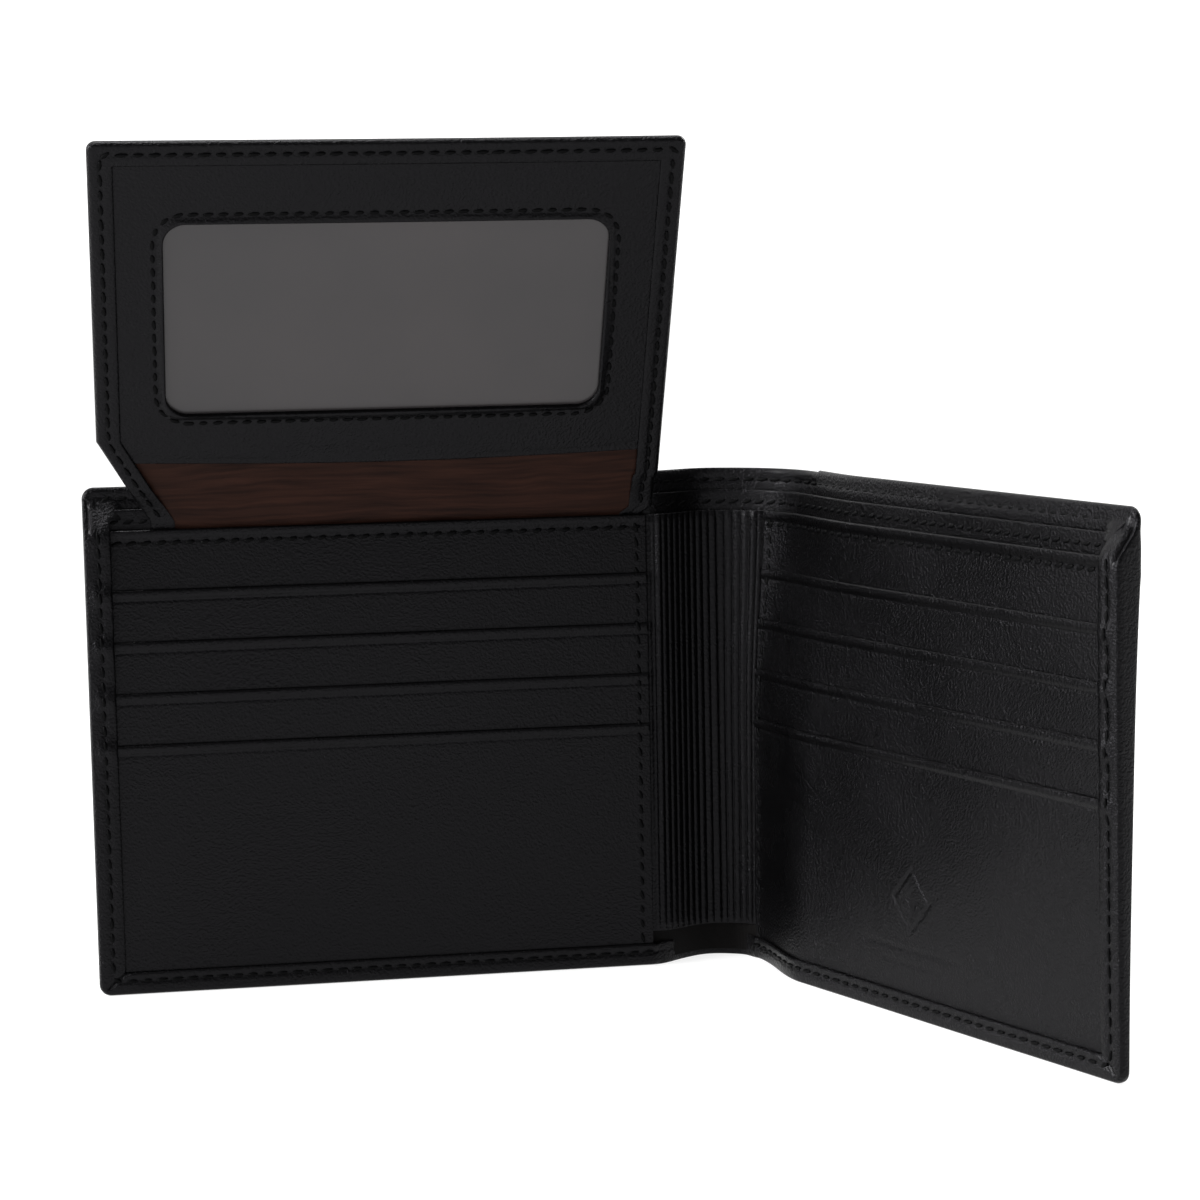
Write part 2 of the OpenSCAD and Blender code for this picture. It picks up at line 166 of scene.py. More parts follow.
def slab(us: Array, zs: Array, back: Face, front: Face, lip: float, cut: bool = False) -> Net:
    """Lays out a thin sheet with rounded edges.

    Args:
        us: Grid lines across.
        zs: Grid lines up.
        back: Depth of the back face, or a function of (u, z) that returns it.
        front: Depth of the front face, in the same way.
        lip: Distance from the edge in which the sheet rounds off.
        cut: True if the sheet's first edge across is cut square, where it meets its other part.

    Returns:
        The closed sheet.
    """
    u, z = np.meshgrid(us, zs, indexing="ij")
    edge = np.minimum(us[-1] - u, np.minimum(z - zs[0], zs[-1] - z))
    if not cut:
        edge = np.minimum(edge, u - us[0])
    fill = np.sqrt(1.0 - (1.0 - np.clip(edge / lip, 0.0, 1.0)) ** 2)
    low, high = (face(u, z) if callable(face) else face + 0 * u for face in (back, front))
    middle, half = (low + high) / 2.0, (high - low) / 2.0 * fill
    top = np.arange(u.size).reshape(u.shape)
    under = np.full(u.shape, -1)
    inner = np.zeros(u.shape, bool)
    inner[0 if cut else 1 : -1, 1:-1] = True
    under[inner] = u.size + np.arange(int(inner.sum()))
    under[~inner] = top[~inner]
    points = np.stack([u, middle + half, z], axis=-1).reshape(-1, 3)
    below = np.stack([u, middle - half, z], axis=-1)[inner]
    faces = [quads(top), quads(under)[:, ::-1]]
    if cut:
        faces.append(quads(np.stack([under[0, 1:-1], top[0, 1:-1]])))
    made = np.concatenate(faces)
    corners = np.array([[under[0, 1], top[0, 1], top[0, 0]], [top[0, -2], under[0, -2], top[0, -1]]])
    return Net(np.concatenate([points, below]), made, corners if cut else None)


def ring(loops: Array) -> Net:
    """Closes a grid of corners on itself in both directions, as a picture frame does.

    Args:
        loops: Array (stations, corners of the cross-section, 3) of leaf coordinates.

    Returns:
        The closed frame.
    """
    stations, corners = loops.shape[:2]
    index = np.arange(stations * corners).reshape(stations, corners)
    index = np.concatenate([index, index[:1]], axis=0)
    index = np.concatenate([index, index[:, :1]], axis=1)
    return Net(loops.reshape(-1, 3), quads(index))


@dataclass(frozen=True)
class Turned:
    """A leather that is turned in round three of its sides, and cut straight at the fourth.

    The run goes from the cut side to the far side, and the span lies across it.
    """

    length: float
    edges: Callable[[Array], tuple[Array, Array]]
    corner: float
    widths: tuple[float, float, float]
    stack: Callable[[Array, Array], Array]
    relief: Callable[[Array, Array, Array], Array]
    leather: float
    lip: float
    seams: tuple[float, float, float]

    def inset(self, a: Array, b: Array, high: float, end: float, low: float) -> tuple[Array, Array]:
        """Finds points on the outline moved inwards.

        Args:
            a: Share of the run, from 0 at the cut side to 1 at the far side.
            b: Share of the span, from 0 at its low side to 1 at its high side.
            high: Inset from the high side.
            end: Inset from the far side.
            low: Inset from the low side.

        Returns:
            The points' run and span.
        """
        run = a * (self.length - end)
        bottom, top = self.edges(run)
        span = bottom + low + b * (top - bottom - low - high)
        last_low, last_high = self.edges(np.full_like(run, self.length - end))
        for wall, sign, moved in ((last_high - high, 1.0, high), (last_low + low, -1.0, low)):
            radius = max(self.corner - max(moved, end), 0.15)
            x = np.clip((run - (self.length - end - radius)) / radius, 0.0, 1.0)
            y = np.clip(((span - wall) * sign + radius) / radius, 0.0, 1.0)
            run = run + radius * x * (np.sqrt(1.0 - y * y / 2.0) - 1.0)
            span = span + sign * radius * y * (np.sqrt(1.0 - x * x / 2.0) - 1.0)
        return run, span

    def net(self, runs: Array, spans: Array) -> Net:
        """Lays out the leather, its turned edge and its hem, with their thickness.

        Args:
            runs: Grid lines along the run, from 0 to 1.
            spans: Grid lines across the span, from 0 to 1.

        Returns:
            A closed mesh in (run, depth, span).
        """
        a, b = np.meshgrid(runs, spans, indexing="ij")
        rows, columns = a.shape
        border = [(i, columns - 1) for i in range(rows)]
        border += [(rows - 1, j) for j in range(columns - 2, -1, -1)]
        border += [(i, 0) for i in range(rows - 2, -1, -1)]
        at = np.array(border)
        edge_a, edge_b = a[at[:, 0], at[:, 1]], b[at[:, 0], at[:, 1]]
        counts = (rows, columns - 2, rows)
        width, seam = np.repeat(self.widths, counts), np.repeat(self.seams, counts)
        skins = []
        for wall in (0.0, self.leather):
            run, span = self.inset(a, b, self.lip, self.lip, self.lip)
            parts = [np.stack([run, np.full_like(run, wall), span], axis=-1).reshape(-1, 3)]
            for turn in BEND_TURNS:
                full = self.stack(*self.inset(edge_a, edge_b, 0.0, 0.0, 0.0))
                power = 2.0 / (2.0 + 2.2 * ramp(full, 1.5, 4.5))
                inward = wall + (self.lip - wall) * (1.0 - math.cos(turn) ** power)
                swing = math.copysign(1.0, turn) * abs(math.sin(turn)) ** power
                depth = wall + (full / 2.0 - wall) * (1.0 + swing)
                run, span = self._shifted(edge_a, edge_b, inward)
                parts.append(np.stack([run, depth, span], axis=-1))
            for share in HEM_SHARES:
                insets = [self.lip + share * (w - self.lip) for w in self.widths]
                run, span = self.inset(edge_a, edge_b, *insets)
                away = self.lip + share * (width - self.lip)
                round_off = 0.22 * (share > 0.99) + 0.07 * (0.93 < share < 0.99)
                sink = 0.2 * np.exp(-(((away - seam) / 0.5) ** 2))
                full = self.stack(run, span) + self.relief(run, span, np.full_like(run, share))
                offset = -wall + (1.0 if wall == 0.0 else -0.4) * -(round_off + sink)
                parts.append(np.stack([run, full + offset, span], axis=-1))
            skins.append(np.concatenate(parts))
        size = len(skins[0])
        plate = np.arange(rows * columns).reshape(rows, columns)
        strip = np.empty((len(border), len(BEND_TURNS) + len(HEM_SHARES) + 1), int)
        strip[:, 0] = plate[at[:, 0], at[:, 1]]
        for step in range(strip.shape[1] - 1):
            strip[:, step + 1] = rows * columns + step * len(border) + np.arange(len(border))
        outer = np.concatenate([quads(plate), quads(strip)[:, ::-1]])
        cut = np.concatenate([strip[-1, ::-1], plate[0, 1:-1], strip[0]])
        hem = strip[:, -1]
        rims = [quads(np.stack([chain, chain + size])) for chain in (cut, hem)]
        faces = np.concatenate([outer, outer[:, ::-1] + size, *rims])
        return Net(np.concatenate(skins), faces)

    def _shifted(self, a: Array, b: Array, inward: Array) -> tuple[Array, Array]:
        """Returns the outline's points moved in by a distance of their own."""
        near = self.inset(a, b, 0.0, 0.0, 0.0)
        far = self.inset(a, b, self.lip, self.lip, self.lip)
        share = inward / self.lip
        return near[0] + (far[0] - near[0]) * share, near[1] + (far[1] - near[1]) * share


def make_piece(name: str, net: Net, place: Place, material: bpy.types.Material) -> Piece:
    """Makes an object of a net, with its place in its mesh.

    Args:
        name: The piece's name.
        net: What the piece is made of.
        place: Turns leaf coordinates into the frame's.
        material: The piece's finish.

    Returns:
        The object, smooth shaded, with its faces outwards.
    """
    mesh = bpy.data.meshes.new(name)
    faces = net.faces.tolist() + ([] if net.corners is None else net.corners.tolist())
    mesh.from_pydata((net.placed(place) * MM).tolist(), [], faces)
    work = bmesh.new()
    work.from_mesh(mesh)
    bmesh.ops.recalc_face_normals(work, faces=work.faces)
    if work.calc_volume(signed=True) < 0:
        bmesh.ops.reverse_faces(work, faces=work.faces)
    work.to_mesh(mesh)
    work.free()
    mesh.shade_smooth()
    mesh.set_sharp_from_angle(angle=SHARP_FROM)
    mesh.materials.append(material)
    return add_object(name, mesh)


def store(piece: Piece, name: str, kind: str, values: Array) -> None:
    """Writes one value or vector for each corner of a piece, for its node tree to read."""
    layer = piece.data.attributes.new(name, kind, "POINT")
    key = "vector" if kind == "FLOAT_VECTOR" else "value"
    layer.data.foreach_set(key, np.asarray(values, np.float32).ravel())


# ------------------------------------------------------------- geometry nodes


class Nodes:
    """A node tree that this script fills in."""

    def __init__(self, tree: bpy.types.NodeTree) -> None:
        """Takes the tree that the nodes go into."""
        self.tree = tree

    def add(
        self, kind: str, links: dict | None = None, output: int | str = 0, **settings: object
    ) -> Socket:
        """Adds a node.

        Args:
            kind: The node's type.
            links: What goes into each of its inputs: an output socket, or a plain value.
            output: Which of its outputs is wanted.
            settings: The node's own properties.

        Returns:
            That output.
        """
        node = self.tree.nodes.new(kind)
        for key, value in settings.items():
            setattr(node, key, value)
        for key, value in (links or {}).items():
            if isinstance(value, Socket):
                self.tree.links.new(value, node.inputs[key])
            else:
                node.inputs[key].default_value = value
        return node.outputs[output]

    def maths(self, operation: str, *values: object) -> Socket:
        """Adds a sum, product or function of one or two values."""
        return self.add("ShaderNodeMath", dict(enumerate(values)), operation=operation)

    def vector(self, **parts: object) -> Socket:
        """Joins X, Y and Z into a vector."""
        return self.add("ShaderNodeCombineXYZ", parts)


class Tree(Nodes):
    """A Geometry Nodes tree that is built and run from this script."""

    def __init__(self, name: str, **inputs: str) -> None:
        """Starts a tree with a geometry input, the named inputs, and a geometry output."""
        super().__init__(bpy.data.node_groups.new(name, "GeometryNodeTree"))
        face = self.tree.interface
        face.new_socket("Geometry", in_out="INPUT", socket_type="NodeSocketGeometry")
        for label, kind in inputs.items():
            face.new_socket(label.replace("_", " "), in_out="INPUT", socket_type=f"NodeSocket{kind}")
        face.new_socket("Geometry", in_out="OUTPUT", socket_type="NodeSocketGeometry")
        self.start = self.tree.nodes.new("NodeGroupInput")
        self.end = self.tree.nodes.new("NodeGroupOutput")

    def stored(self, name: str, kind: str = "FLOAT") -> Socket:
        """Reads an attribute that the mesh carries."""
        return self.add("GeometryNodeInputNamedAttribute", {"Name": name}, data_type=kind)

    def copies(self, points: object, item: object, turn: object, size: object) -> Socket:
        """Puts a turned and scaled copy of an item on each point."""
        links = {"Points": points, "Instance": item, "Rotation": turn, "Scale": size}
        return self.add("GeometryNodeInstanceOnPoints", links)

    def painted(self, geometry: object, material: object) -> Socket:
        """Turns instances into plain geometry and gives it its material."""
        real = self.add("GeometryNodeRealizeInstances", {"Geometry": geometry})
        return self.add("GeometryNodeSetMaterial", {"Geometry": real, "Material": material})

    def finish(self, *sockets: Socket) -> None:
        """Joins the given geometry into the tree's output."""
        join = self.tree.nodes.new("GeometryNodeJoinGeometry")
        for socket in reversed(sockets):
            self.tree.links.new(socket, join.inputs[0])
        self.tree.links.new(join.outputs[0], self.end.inputs[0])

    def run(self, piece: Piece, values: dict[str, object]) -> Piece:
        """Runs the tree on a piece and keeps the result as the piece's plain mesh.

        Args:
            piece: The object that the tree starts from.
            values: The value of each named input.

        Returns:
            The same object, with no modifier left.
        """
        modifier = piece.modifiers.new(self.tree.name, "NODES")
        modifier.node_group = self.tree
        sockets = {item.name: item for item in self.tree.interface.items_tree if item.in_out == "INPUT"}
        for label, value in values.items():
            modifier[sockets[label].identifier] = value
        graph = bpy.context.evaluated_depsgraph_get()
        made = bpy.data.meshes.new_from_object(piece.evaluated_get(graph), depsgraph=graph)
        piece.modifiers.remove(modifier)
        old = piece.data
        piece.data = made
        bpy.data.meshes.remove(old)
        return piece


def stitch_tree() -> Tree:
    """Builds the tree that sews a row of slanted stitches, with a flat dark disc of painted shade
    standing for a needle hole between each two.
    """
    sizes = dict.fromkeys(("Pitch", "Length", "Width", "Rise", "Slant", "Hole_Size"), "Float")
    tree = Tree("stitch_row", **sizes, Seed="Int", Thread="Material", Hole="Material")
    given = tree.start.outputs
    thread_path = tree.add("GeometryNodeMeshToCurve", {"Mesh": given["Geometry"]})
    spacing = {"Curve": thread_path, "Length": given["Pitch"]}
    row = tree.add("GeometryNodeResampleCurve", spacing, mode="LENGTH")
    align = "FunctionNodeAlignRotationToVector"
    ahead = {"Vector": tree.add("GeometryNodeInputTangent")}
    along = tree.add(align, ahead, axis="X", pivot_axis="AUTO")
    outwards = {"Rotation": along, "Vector": tree.stored("facing", "FLOAT_VECTOR")}
    upright = tree.add(align, outwards, axis="Z", pivot_axis="X")
    varied = {2: 0.85, 3: 1.12, "Seed": given["Seed"]}
    wobble = tree.add("FunctionNodeRandomValue", varied, 1, data_type="FLOAT")
    slant = tree.maths("MULTIPLY", given["Slant"], wobble)
    twist = tree.add("FunctionNodeEulerToRotation", {"Euler": tree.vector(Z=slant)})
    turn = {"Rotation": upright, "Rotate By": twist}
    turned = tree.add("FunctionNodeRotateRotation", turn, rotation_space="LOCAL")
    length = tree.maths("MULTIPLY", given["Length"], wobble)
    size = tree.vector(X=length, Y=given["Width"], Z=given["Rise"])
    ball = tree.add("GeometryNodeMeshUVSphere", {"Segments": 8, "Rings": 6, "Radius": 0.5})
    soft = tree.add("GeometryNodeSetShadeSmooth", {"Geometry": ball})
    threads = tree.copies(row, soft, turned, size)
    # painted shade: flat near-black discs between the stitches stand for the shade inside the needle
    # holes
    pin = tree.add("GeometryNodeMeshUVSphere", {"Segments": 6, "Rings": 4, "Radius": 0.5})
    wide, flat = given["Hole Size"], tree.maths("MULTIPLY", given["Hole Size"], 0.12)
    hole_shades = tree.copies(row, pin, upright, tree.vector(X=wide, Y=wide, Z=flat))
    step = tree.vector(X=tree.maths("MULTIPLY", given["Pitch"], 0.5))
    moved = tree.add("GeometryNodeTranslateInstances", {"Instances": hole_shades, "Translation": step})
    tree.finish(tree.painted(threads, given["Thread"]), tree.painted(moved, given["Hole"]))
    return tree


def rib_tree() -> Tree:
    """Builds the tree that presses upright ribs into a sheet."""
    tree = Tree("pressed_ribs", Pitch="Float", Height="Float", Material="Material")
    given = tree.start.outputs
    phase = tree.maths("DIVIDE", tree.stored("across"), given["Pitch"])
    wave = tree.maths("SINE", tree.maths("MULTIPLY", phase, math.pi))
    round_top = tree.maths("POWER", tree.maths("ABSOLUTE", wave), 0.7)
    share = tree.maths("MULTIPLY", round_top, tree.stored("amount"))
    height = tree.maths("MULTIPLY", share, given["Height"])
    facing = tree.stored("facing", "FLOAT_VECTOR")
    push = tree.add("ShaderNodeVectorMath", {0: facing, "Scale": height}, operation="SCALE")
    ribs = tree.add("GeometryNodeSetPosition", {"Geometry": given["Geometry"], "Offset": push})
    tree.finish(tree.painted(ribs, given["Material"]))
    return tree


# ------------------------------------------------------------------- finishes


class Shader(Nodes):
    """A material's node tree, with a Principled surface at its end."""

    def __init__(self, name: str) -> None:
        """Starts a material whose patterns read Object coordinates."""
        self.material = bpy.data.materials.new(name)
        self.material.use_nodes = True
        super().__init__(self.material.node_tree)
        self.surface = next(n for n in self.tree.nodes if n.type == "BSDF_PRINCIPLED")
        self.place = self.add("ShaderNodeTexCoord", output="Object")

    def stretched(self, scale: tuple[float, float, float]) -> Socket:
        """Returns Object coordinates stretched along each axis."""
        return self.add("ShaderNodeMapping", {"Vector": self.place, "Scale": scale})

    def noise(self, scale: float, detail: float = 3.0, where: object = None) -> Socket:
        """Returns a noise pattern of a scale in cycles per metre."""
        links = {"Vector": where or self.place, "Scale": scale, "Detail": detail}
        return self.add("ShaderNodeTexNoise", links, "Fac")

    def spread(self, value: Socket, low: float, high: float) -> Socket:
        """Returns a pattern stretched to run from low to high."""
        links = {"Value": value, "From Min": 0.32, "From Max": 0.68, "To Min": low, "To Max": high}
        return self.add("ShaderNodeMapRange", links)

    def colours(self, value: Socket, stops: Sequence[tuple]) -> Socket:
        """Returns a colour for each value, from stops of (place, red, green, blue)."""
        found = self.add("ShaderNodeValToRGB", {"Fac": value})
        marks = found.node.color_ramp.elements
        while len(marks) < len(stops):
            marks.new(0.5)
        for mark, (place, red, green, blue) in zip(marks, stops):
            mark.position = place
            mark.color = (red, green, blue, 1.0)
        return found

    def mottled(
        self, pattern: object, shade: Sequence, dark: Sequence = (0.7,) * 3, light: Sequence = (1.3,) * 3
    ) -> Socket:
        """Returns a shade that a pattern makes darker and lighter by the given factors."""
        ends = ((0.3, dark), (0.7, light))
        return self.colours(pattern, [(at, *(c * f for c, f in zip(shade, by))) for at, by in ends])

    def bump(self, height: Socket, depth: float, after: object = None) -> Socket:
        """Returns a normal dented by a pattern of the given depth in metres."""
        links = {"Height": height, "Distance": depth, "Strength": 1.0}
        if after is not None:
            links["Normal"] = after
        return self.add("ShaderNodeBump", links)

    def dress(self, colour: object, rough: object, normal: object, **fixed: float) -> bpy.types.Material:
        """Joins the patterns to the surface and sets its fixed values.

        Args:
            colour: Socket for the base colour.
            rough: Socket for the roughness.
            normal: Socket for the normal.
            fixed: Values of other inputs, with _ for each space in their names.

        Returns:
            The finished material.
        """
        for key, socket in (("Base Color", colour), ("Roughness", rough), ("Normal", normal)):
            self.tree.links.new(socket, self.surface.inputs[key])
        for key, value in fixed.items():
            self.surface.inputs[key.replace("_", " ")].default_value = value
        return self.material


@dataclass(frozen=True)
class Leather:
    """Smooth black leather with a fine pebbled grain and a soft waxed gloss."""

    name: str
    shade: float
    gloss: tuple[float, float]
    pebble: float
    grain_depth: float
    coat: float

    def material(self) -> bpy.types.Material:
        """Returns the finish."""
        shader = Shader(self.name)
        spots = {"Vector": shader.place, "Scale": self.pebble * 0.5, "Detail": 2.0}
        warp = {0: shader.add("ShaderNodeTexNoise", spots, "Color"), "Scale": 0.0006}
        shift = shader.add("ShaderNodeVectorMath", warp, operation="SCALE")
        where = shader.add("ShaderNodeVectorMath", {0: shader.place, 1: shift}, operation="ADD")
        pebbles = {"Vector": where, "Scale": self.pebble}
        cells = shader.add("ShaderNodeTexVoronoi", pebbles, "Distance", feature="SMOOTH_F1")
        fine = shader.noise(self.pebble * 3.6, 3.0)
        smudges = shader.noise(46.0, 5.0)
        drift = shader.noise(17.0, 2.0)
        colour = shader.mottled(smudges, (self.shade,) * 3, (0.75, 0.72, 0.8), (1.35, 1.3, 1.42))
        rough = shader.spread(smudges, *self.gloss)
        soft = shader.bump(drift, 0.00012)
        pebbled = shader.bump(cells, self.grain_depth, soft)
        normal = shader.bump(fine, self.grain_depth * 0.45, pebbled)
        return shader.dress(
            colour,
            rough,
            normal,
            Specular_IOR_Level=0.105,
            Specular_Tint=(0.93, 0.91, 1.0, 1.0),
            Coat_Weight=self.coat,
            Coat_Roughness=0.2,
        )


@dataclass(frozen=True)
class Satin:
    """Watered satin: long wavering streaks along one axis over a very fine weave."""

    name: str
    dark: tuple[float, float, float]
    light: tuple[float, float, float]

    def material(self) -> bpy.types.Material:
        """Returns the finish."""
        shader = Shader(self.name)
        lift = shader.vector(Z=shader.maths("MULTIPLY", shader.noise(38.0, 3.0), 0.004))
        where = shader.add("ShaderNodeVectorMath", {0: shader.place, 1: lift}, operation="ADD")
        long = shader.add("ShaderNodeMapping", {"Vector": where, "Scale": (70.0, 90.0, 1500.0)})
        streaks = shader.noise(1.0, 6.0, long)
        threads = shader.noise(1.0, 2.0, shader.stretched((900.0, 900.0, 9000.0)))
        colour = shader.colours(streaks, [(0.26, *self.dark), (0.72, *self.light)])
        rough = shader.spread(streaks, 0.36, 0.56)
        ridged = shader.bump(streaks, 0.00004)
        normal = shader.bump(threads, 0.00002, ridged)
        return shader.dress(
            colour, rough, normal, Specular_IOR_Level=0.05, Sheen_Weight=0.02, Sheen_Roughness=0.4
        )


@dataclass(frozen=True)
class Woven:
    """Plain woven lining cloth."""

    name: str
    shade: tuple[float, float, float]
    thread: float = 2600.0

    def material(self) -> bpy.types.Material:
        """Returns the finish."""
        shader = Shader(self.name)
        waves = []
        for scale in ((self.thread, self.thread, 0.0), (0.0, 0.0, self.thread)):
            bands = {"Vector": shader.stretched(scale), "Scale": 1.0, "Distortion": 0.6}
            waves.append(shader.add("ShaderNodeTexWave", bands, "Fac", bands_direction="DIAGONAL"))
        height = shader.maths("MAXIMUM", *waves)
        patches = shader.noise(70.0, 4.0)
        colour = shader.mottled(patches, self.shade)
        rough = shader.spread(patches, 0.7, 0.86)
        return shader.dress(
            colour, rough, shader.bump(height, 0.00005), Specular_IOR_Level=0.08, Sheen_Weight=0.02
        )


@dataclass(frozen=True)
class Film:
    """Milky plastic film with a faint ripple and rubbed patches."""

    name: str
    shade: tuple[float, float, float]

    def material(self) -> bpy.types.Material:
        """Returns the finish."""
        shader = Shader(self.name)
        cloud = shader.noise(26.0, 4.0)
        haze = shader.noise(1.0, 3.0, shader.stretched((30.0, 30.0, 90.0)))
        colour = shader.mottled(cloud, self.shade, (0.82, 0.84, 0.86), (1.18, 1.14, 1.12))
        rough = shader.spread(haze, 0.3, 0.36)
        normal = shader.bump(shader.noise(24.0, 0.0), 0.00004)
        return shader.dress(
            colour, rough, normal, Specular_IOR_Level=0.35, Coat_Weight=0.2, Coat_Roughness=0.14
        )


@dataclass(frozen=True)
class Plain:
    """Board, thread, or the painted shade of a needle hole (a flat near-black disc), with a fibrous
    surface.
    """

    name: str
    shade: tuple[float, float, float]
    rough: tuple[float, float]
    fibre: float
    depth: float

    def material(self) -> bpy.types.Material:
        """Returns the finish."""
        shader = Shader(self.name)
        fibres = shader.noise(self.fibre, 4.0)
        colour = shader.mottled(fibres, self.shade)
        rough = shader.spread(fibres, *self.rough)
        return shader.dress(colour, rough, shader.bump(fibres, self.depth), Specular_IOR_Level=0.05)


class Slot(Enum):
    """The record's material slots."""

    SHELL = "shell_leather"
    POCKET = "pocket_leather"
    LINING = "lining_fabric"
    SATIN = "satin_lining"
    BOARD = "stiffener_board"
    FILM = "window_film"
    THREAD = "thread"


FINISHES = {
    Slot.SHELL: Leather("shell_leather_finish", 0.0011, (0.23, 0.35), 2200.0, 0.00015, 0.05),
    Slot.POCKET: Leather("pocket_leather_finish", 0.001, (0.22, 0.34), 2300.0, 0.00012, 0.05),
    Slot.LINING: Woven("lining_fabric_finish", (0.0034, 0.003, 0.003)),
    Slot.SATIN: Satin("satin_lining_finish", (0.008, 0.003, 0.002), (0.031, 0.0128, 0.0086)),
    Slot.BOARD: Plain("stiffener_board_finish", (0.2, 0.16, 0.12), (0.8, 0.95), 900.0, 0.00004),
    Slot.FILM: Film("window_film_finish", (0.03, 0.0268, 0.0282)),
    Slot.THREAD: Plain("thread_finish", (0.0012, 0.0012, 0.0014), (0.4, 0.55), 5200.0, 0.00003),
}
# painted shade: near-black, low-gloss finish for the flat discs that stand in for the shade inside needle
# holes
HOLE_SHADE = Plain("needle_hole_painted_shade", (0.0008, 0.0008, 0.0009), (0.9, 1.0), 3000.0, 0.00001)


# ---------------------------------------------------------------------- leaves


@dataclass(frozen=True)
class Box:
    """Where a CAD node lies on a leaf, in that leaf's coordinates."""

    u0: float
    u1: float
    d0: float
    d1: float
    z0: float
    z1: float


def node_points(node: str) -> Array:
    """Returns a CAD node's corners in millimetres."""
    return np.array([v.co for v in frame["nodes"][node].data.vertices], float) / MM


def joint_place(name: str) -> Array:
    """Returns a joint's place in millimetres."""
    joint = next(j for j in frame["joints"] if j["name"] == name)
    return np.array(joint["pos_m"], float) / MM


def plate_run(node: str, axes: tuple[int, int]) -> Array:
    """Returns the direction in which a thin plate runs, seen in the plane of two axes."""
    points = node_points(node)[:, axes]
    _, _, directions = np.linalg.svd(points - points.mean(axis=0), full_matrices=False)
    return directions[0]


class Side(Enum):
    """The wallet's two halves."""

    LEFT = "left"
    RIGHT = "right"


@dataclass
class Half:
    """One half of the wallet with its share of the spine, as a place to lay leather on."""

    side: Side
    axis: Array
    along: Array
    inward: Array
    face: float
    spine_inward: Array
    spine_run: Array
    stack: float
    hem: float
    reach: float = 8.8
    spine_from: float = 6.0
    thin_most: float = 3.5
    thin_below: float = 84.0
    top_push: float = 2.3
    height: float = 95.0
    spine_lean: float = 8.0
    swell_near: float = 4.0
    swell_far: float = 5.2
    wave: float = 0.05

    @property
    def body(self) -> str:
        """The CAD body that the half rides on."""
        return f"{self.side.value}_half"

    def box(self, node: str, ending: str = "") -> Box:
        """Returns where a CAD node of this half lies on it."""
        points = node_points(f"{node}_{self.side.value}{ending}")
        flat = points[:, :2] - self.axis
        u, d, z = flat @ self.along, flat @ self.inward + self.face, points[:, 2]
        return Box(u.min(), u.max(), d.min(), d.max(), z.min(), z.max())

    def pressed(self, u: Array, d: Array, z: Array) -> Array:
        """Returns depths in a half that thins towards its foot and swells in its middle."""
        thin = self.thin_most * np.clip(1.0 - z / self.thin_below, 0.0, 1.0) ** 0.8
        under = self.stack - self.hem
        depth = np.where(d < under, thin + d * (under - thin) / under, d)
        if self.side is Side.RIGHT:
            low = np.clip(1.0 - z / self.height, 0.0, 1.0) ** 1.5
            far = self.swell_far * np.clip(u - 25.0, 0.0, None) / 80.0
            depth = depth + low * (self.swell_near * ramp(u, 5.0, 25.0) - far)
            depth = depth - self.top_push * ramp(z, 50.0, self.height) * (1.0 - ramp(u, 12.0, 34.0))
        waves = self.wave * np.sin(u / 9.0 + z / 13.0) * np.sin(z / 17.0 + 0.6)
        return depth + waves * ramp(u, 16.0, 28.0)

    def at(self, u: Array, d: Array, z: Array) -> Array:
        """Returns points in the frame, in millimetres.

        Args:
            u: Distance outwards from the fold line, down to minus reach at mid-spine.
            d: Depth inwards from the shell's outer face.
            z: Height.

        Returns:
            One point for each, as rows of x, y and z.
        """
        u, d, z = np.broadcast_arrays(*(np.asarray(v, float) for v in (u, d, z)))
        lean_out = self.spine_lean if self.side is Side.RIGHT else 0.0
        turn = self.spine_from + lean_out * ramp(z, 45.0, self.height)
        on_panel = np.maximum(u, turn)
        depth = self.pressed(on_panel, d, z)
        flat = self.axis + on_panel[..., None] * self.along + (depth - self.face)[..., None] * self.inward
        lean = 0.5 + 1.3 * (1.0 - z / self.height)
        middle = (lean + 0.6 * d)[..., None] * self.spine_inward
        t = np.clip((turn - u) / (turn + self.reach), 0.0, 1.0)[..., None]
        pull = 1.1 * np.linalg.norm(flat - middle, axis=-1)[..., None]
        bent = curve(t, flat, -self.along * pull, middle, self.spine_run * pull)
        return np.concatenate([bent, z[..., None]], axis=-1)

    def fold(self) -> tuple[Array, Array]:
        """Returns the two points between which this half's leather bends to the spine, in metres."""
        if self.side is Side.LEFT:
            way, before, after = np.array([0.9535, 0.3015]), 4.4, 4.6
        else:
            way, before, after = np.array([0.5, -0.866]), 3.35, 2.65
        start, end = self.axis - way * before, self.axis + way * after
        return np.append(start, 0.0) * MM, np.append(end, 0.0) * MM


def find_halves() -> dict[Side, Half]:
    """Reads the two halves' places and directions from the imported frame."""
    left, right = joint_place("spine_left_fold")[:2], joint_place("spine_right_fold")[:2]
    chord = (right - left) / np.linalg.norm(right - left)
    spine_inward = np.array([chord[1], -chord[0]])
    face = node_points("shell_left")[:, 1].max() - left[1]
    stack = node_points("shell_left")[:, 1].max() - node_points("shell_left")[:, 1].min()
    hem = 0.6
    bend = math.radians(14.0)
    run = np.array([math.cos(bend), -math.sin(bend)])
    out = plate_run("stiffener_right", (0, 1))
    out = out * math.copysign(1.0, out[0])
    ways = {
        Side.LEFT: (left, np.array([-1.0, 0.0]), np.array([0.0, -1.0]), run),
        Side.RIGHT: (right, out, np.array([out[1], -out[0]]), -run),
    }
    return {
        side: Half(side, axis, along, inward, face, spine_inward, middle, stack, hem)
        for side, (axis, along, inward, middle) in ways.items()
    }


# ----------------------------------------------------------------- the sewing


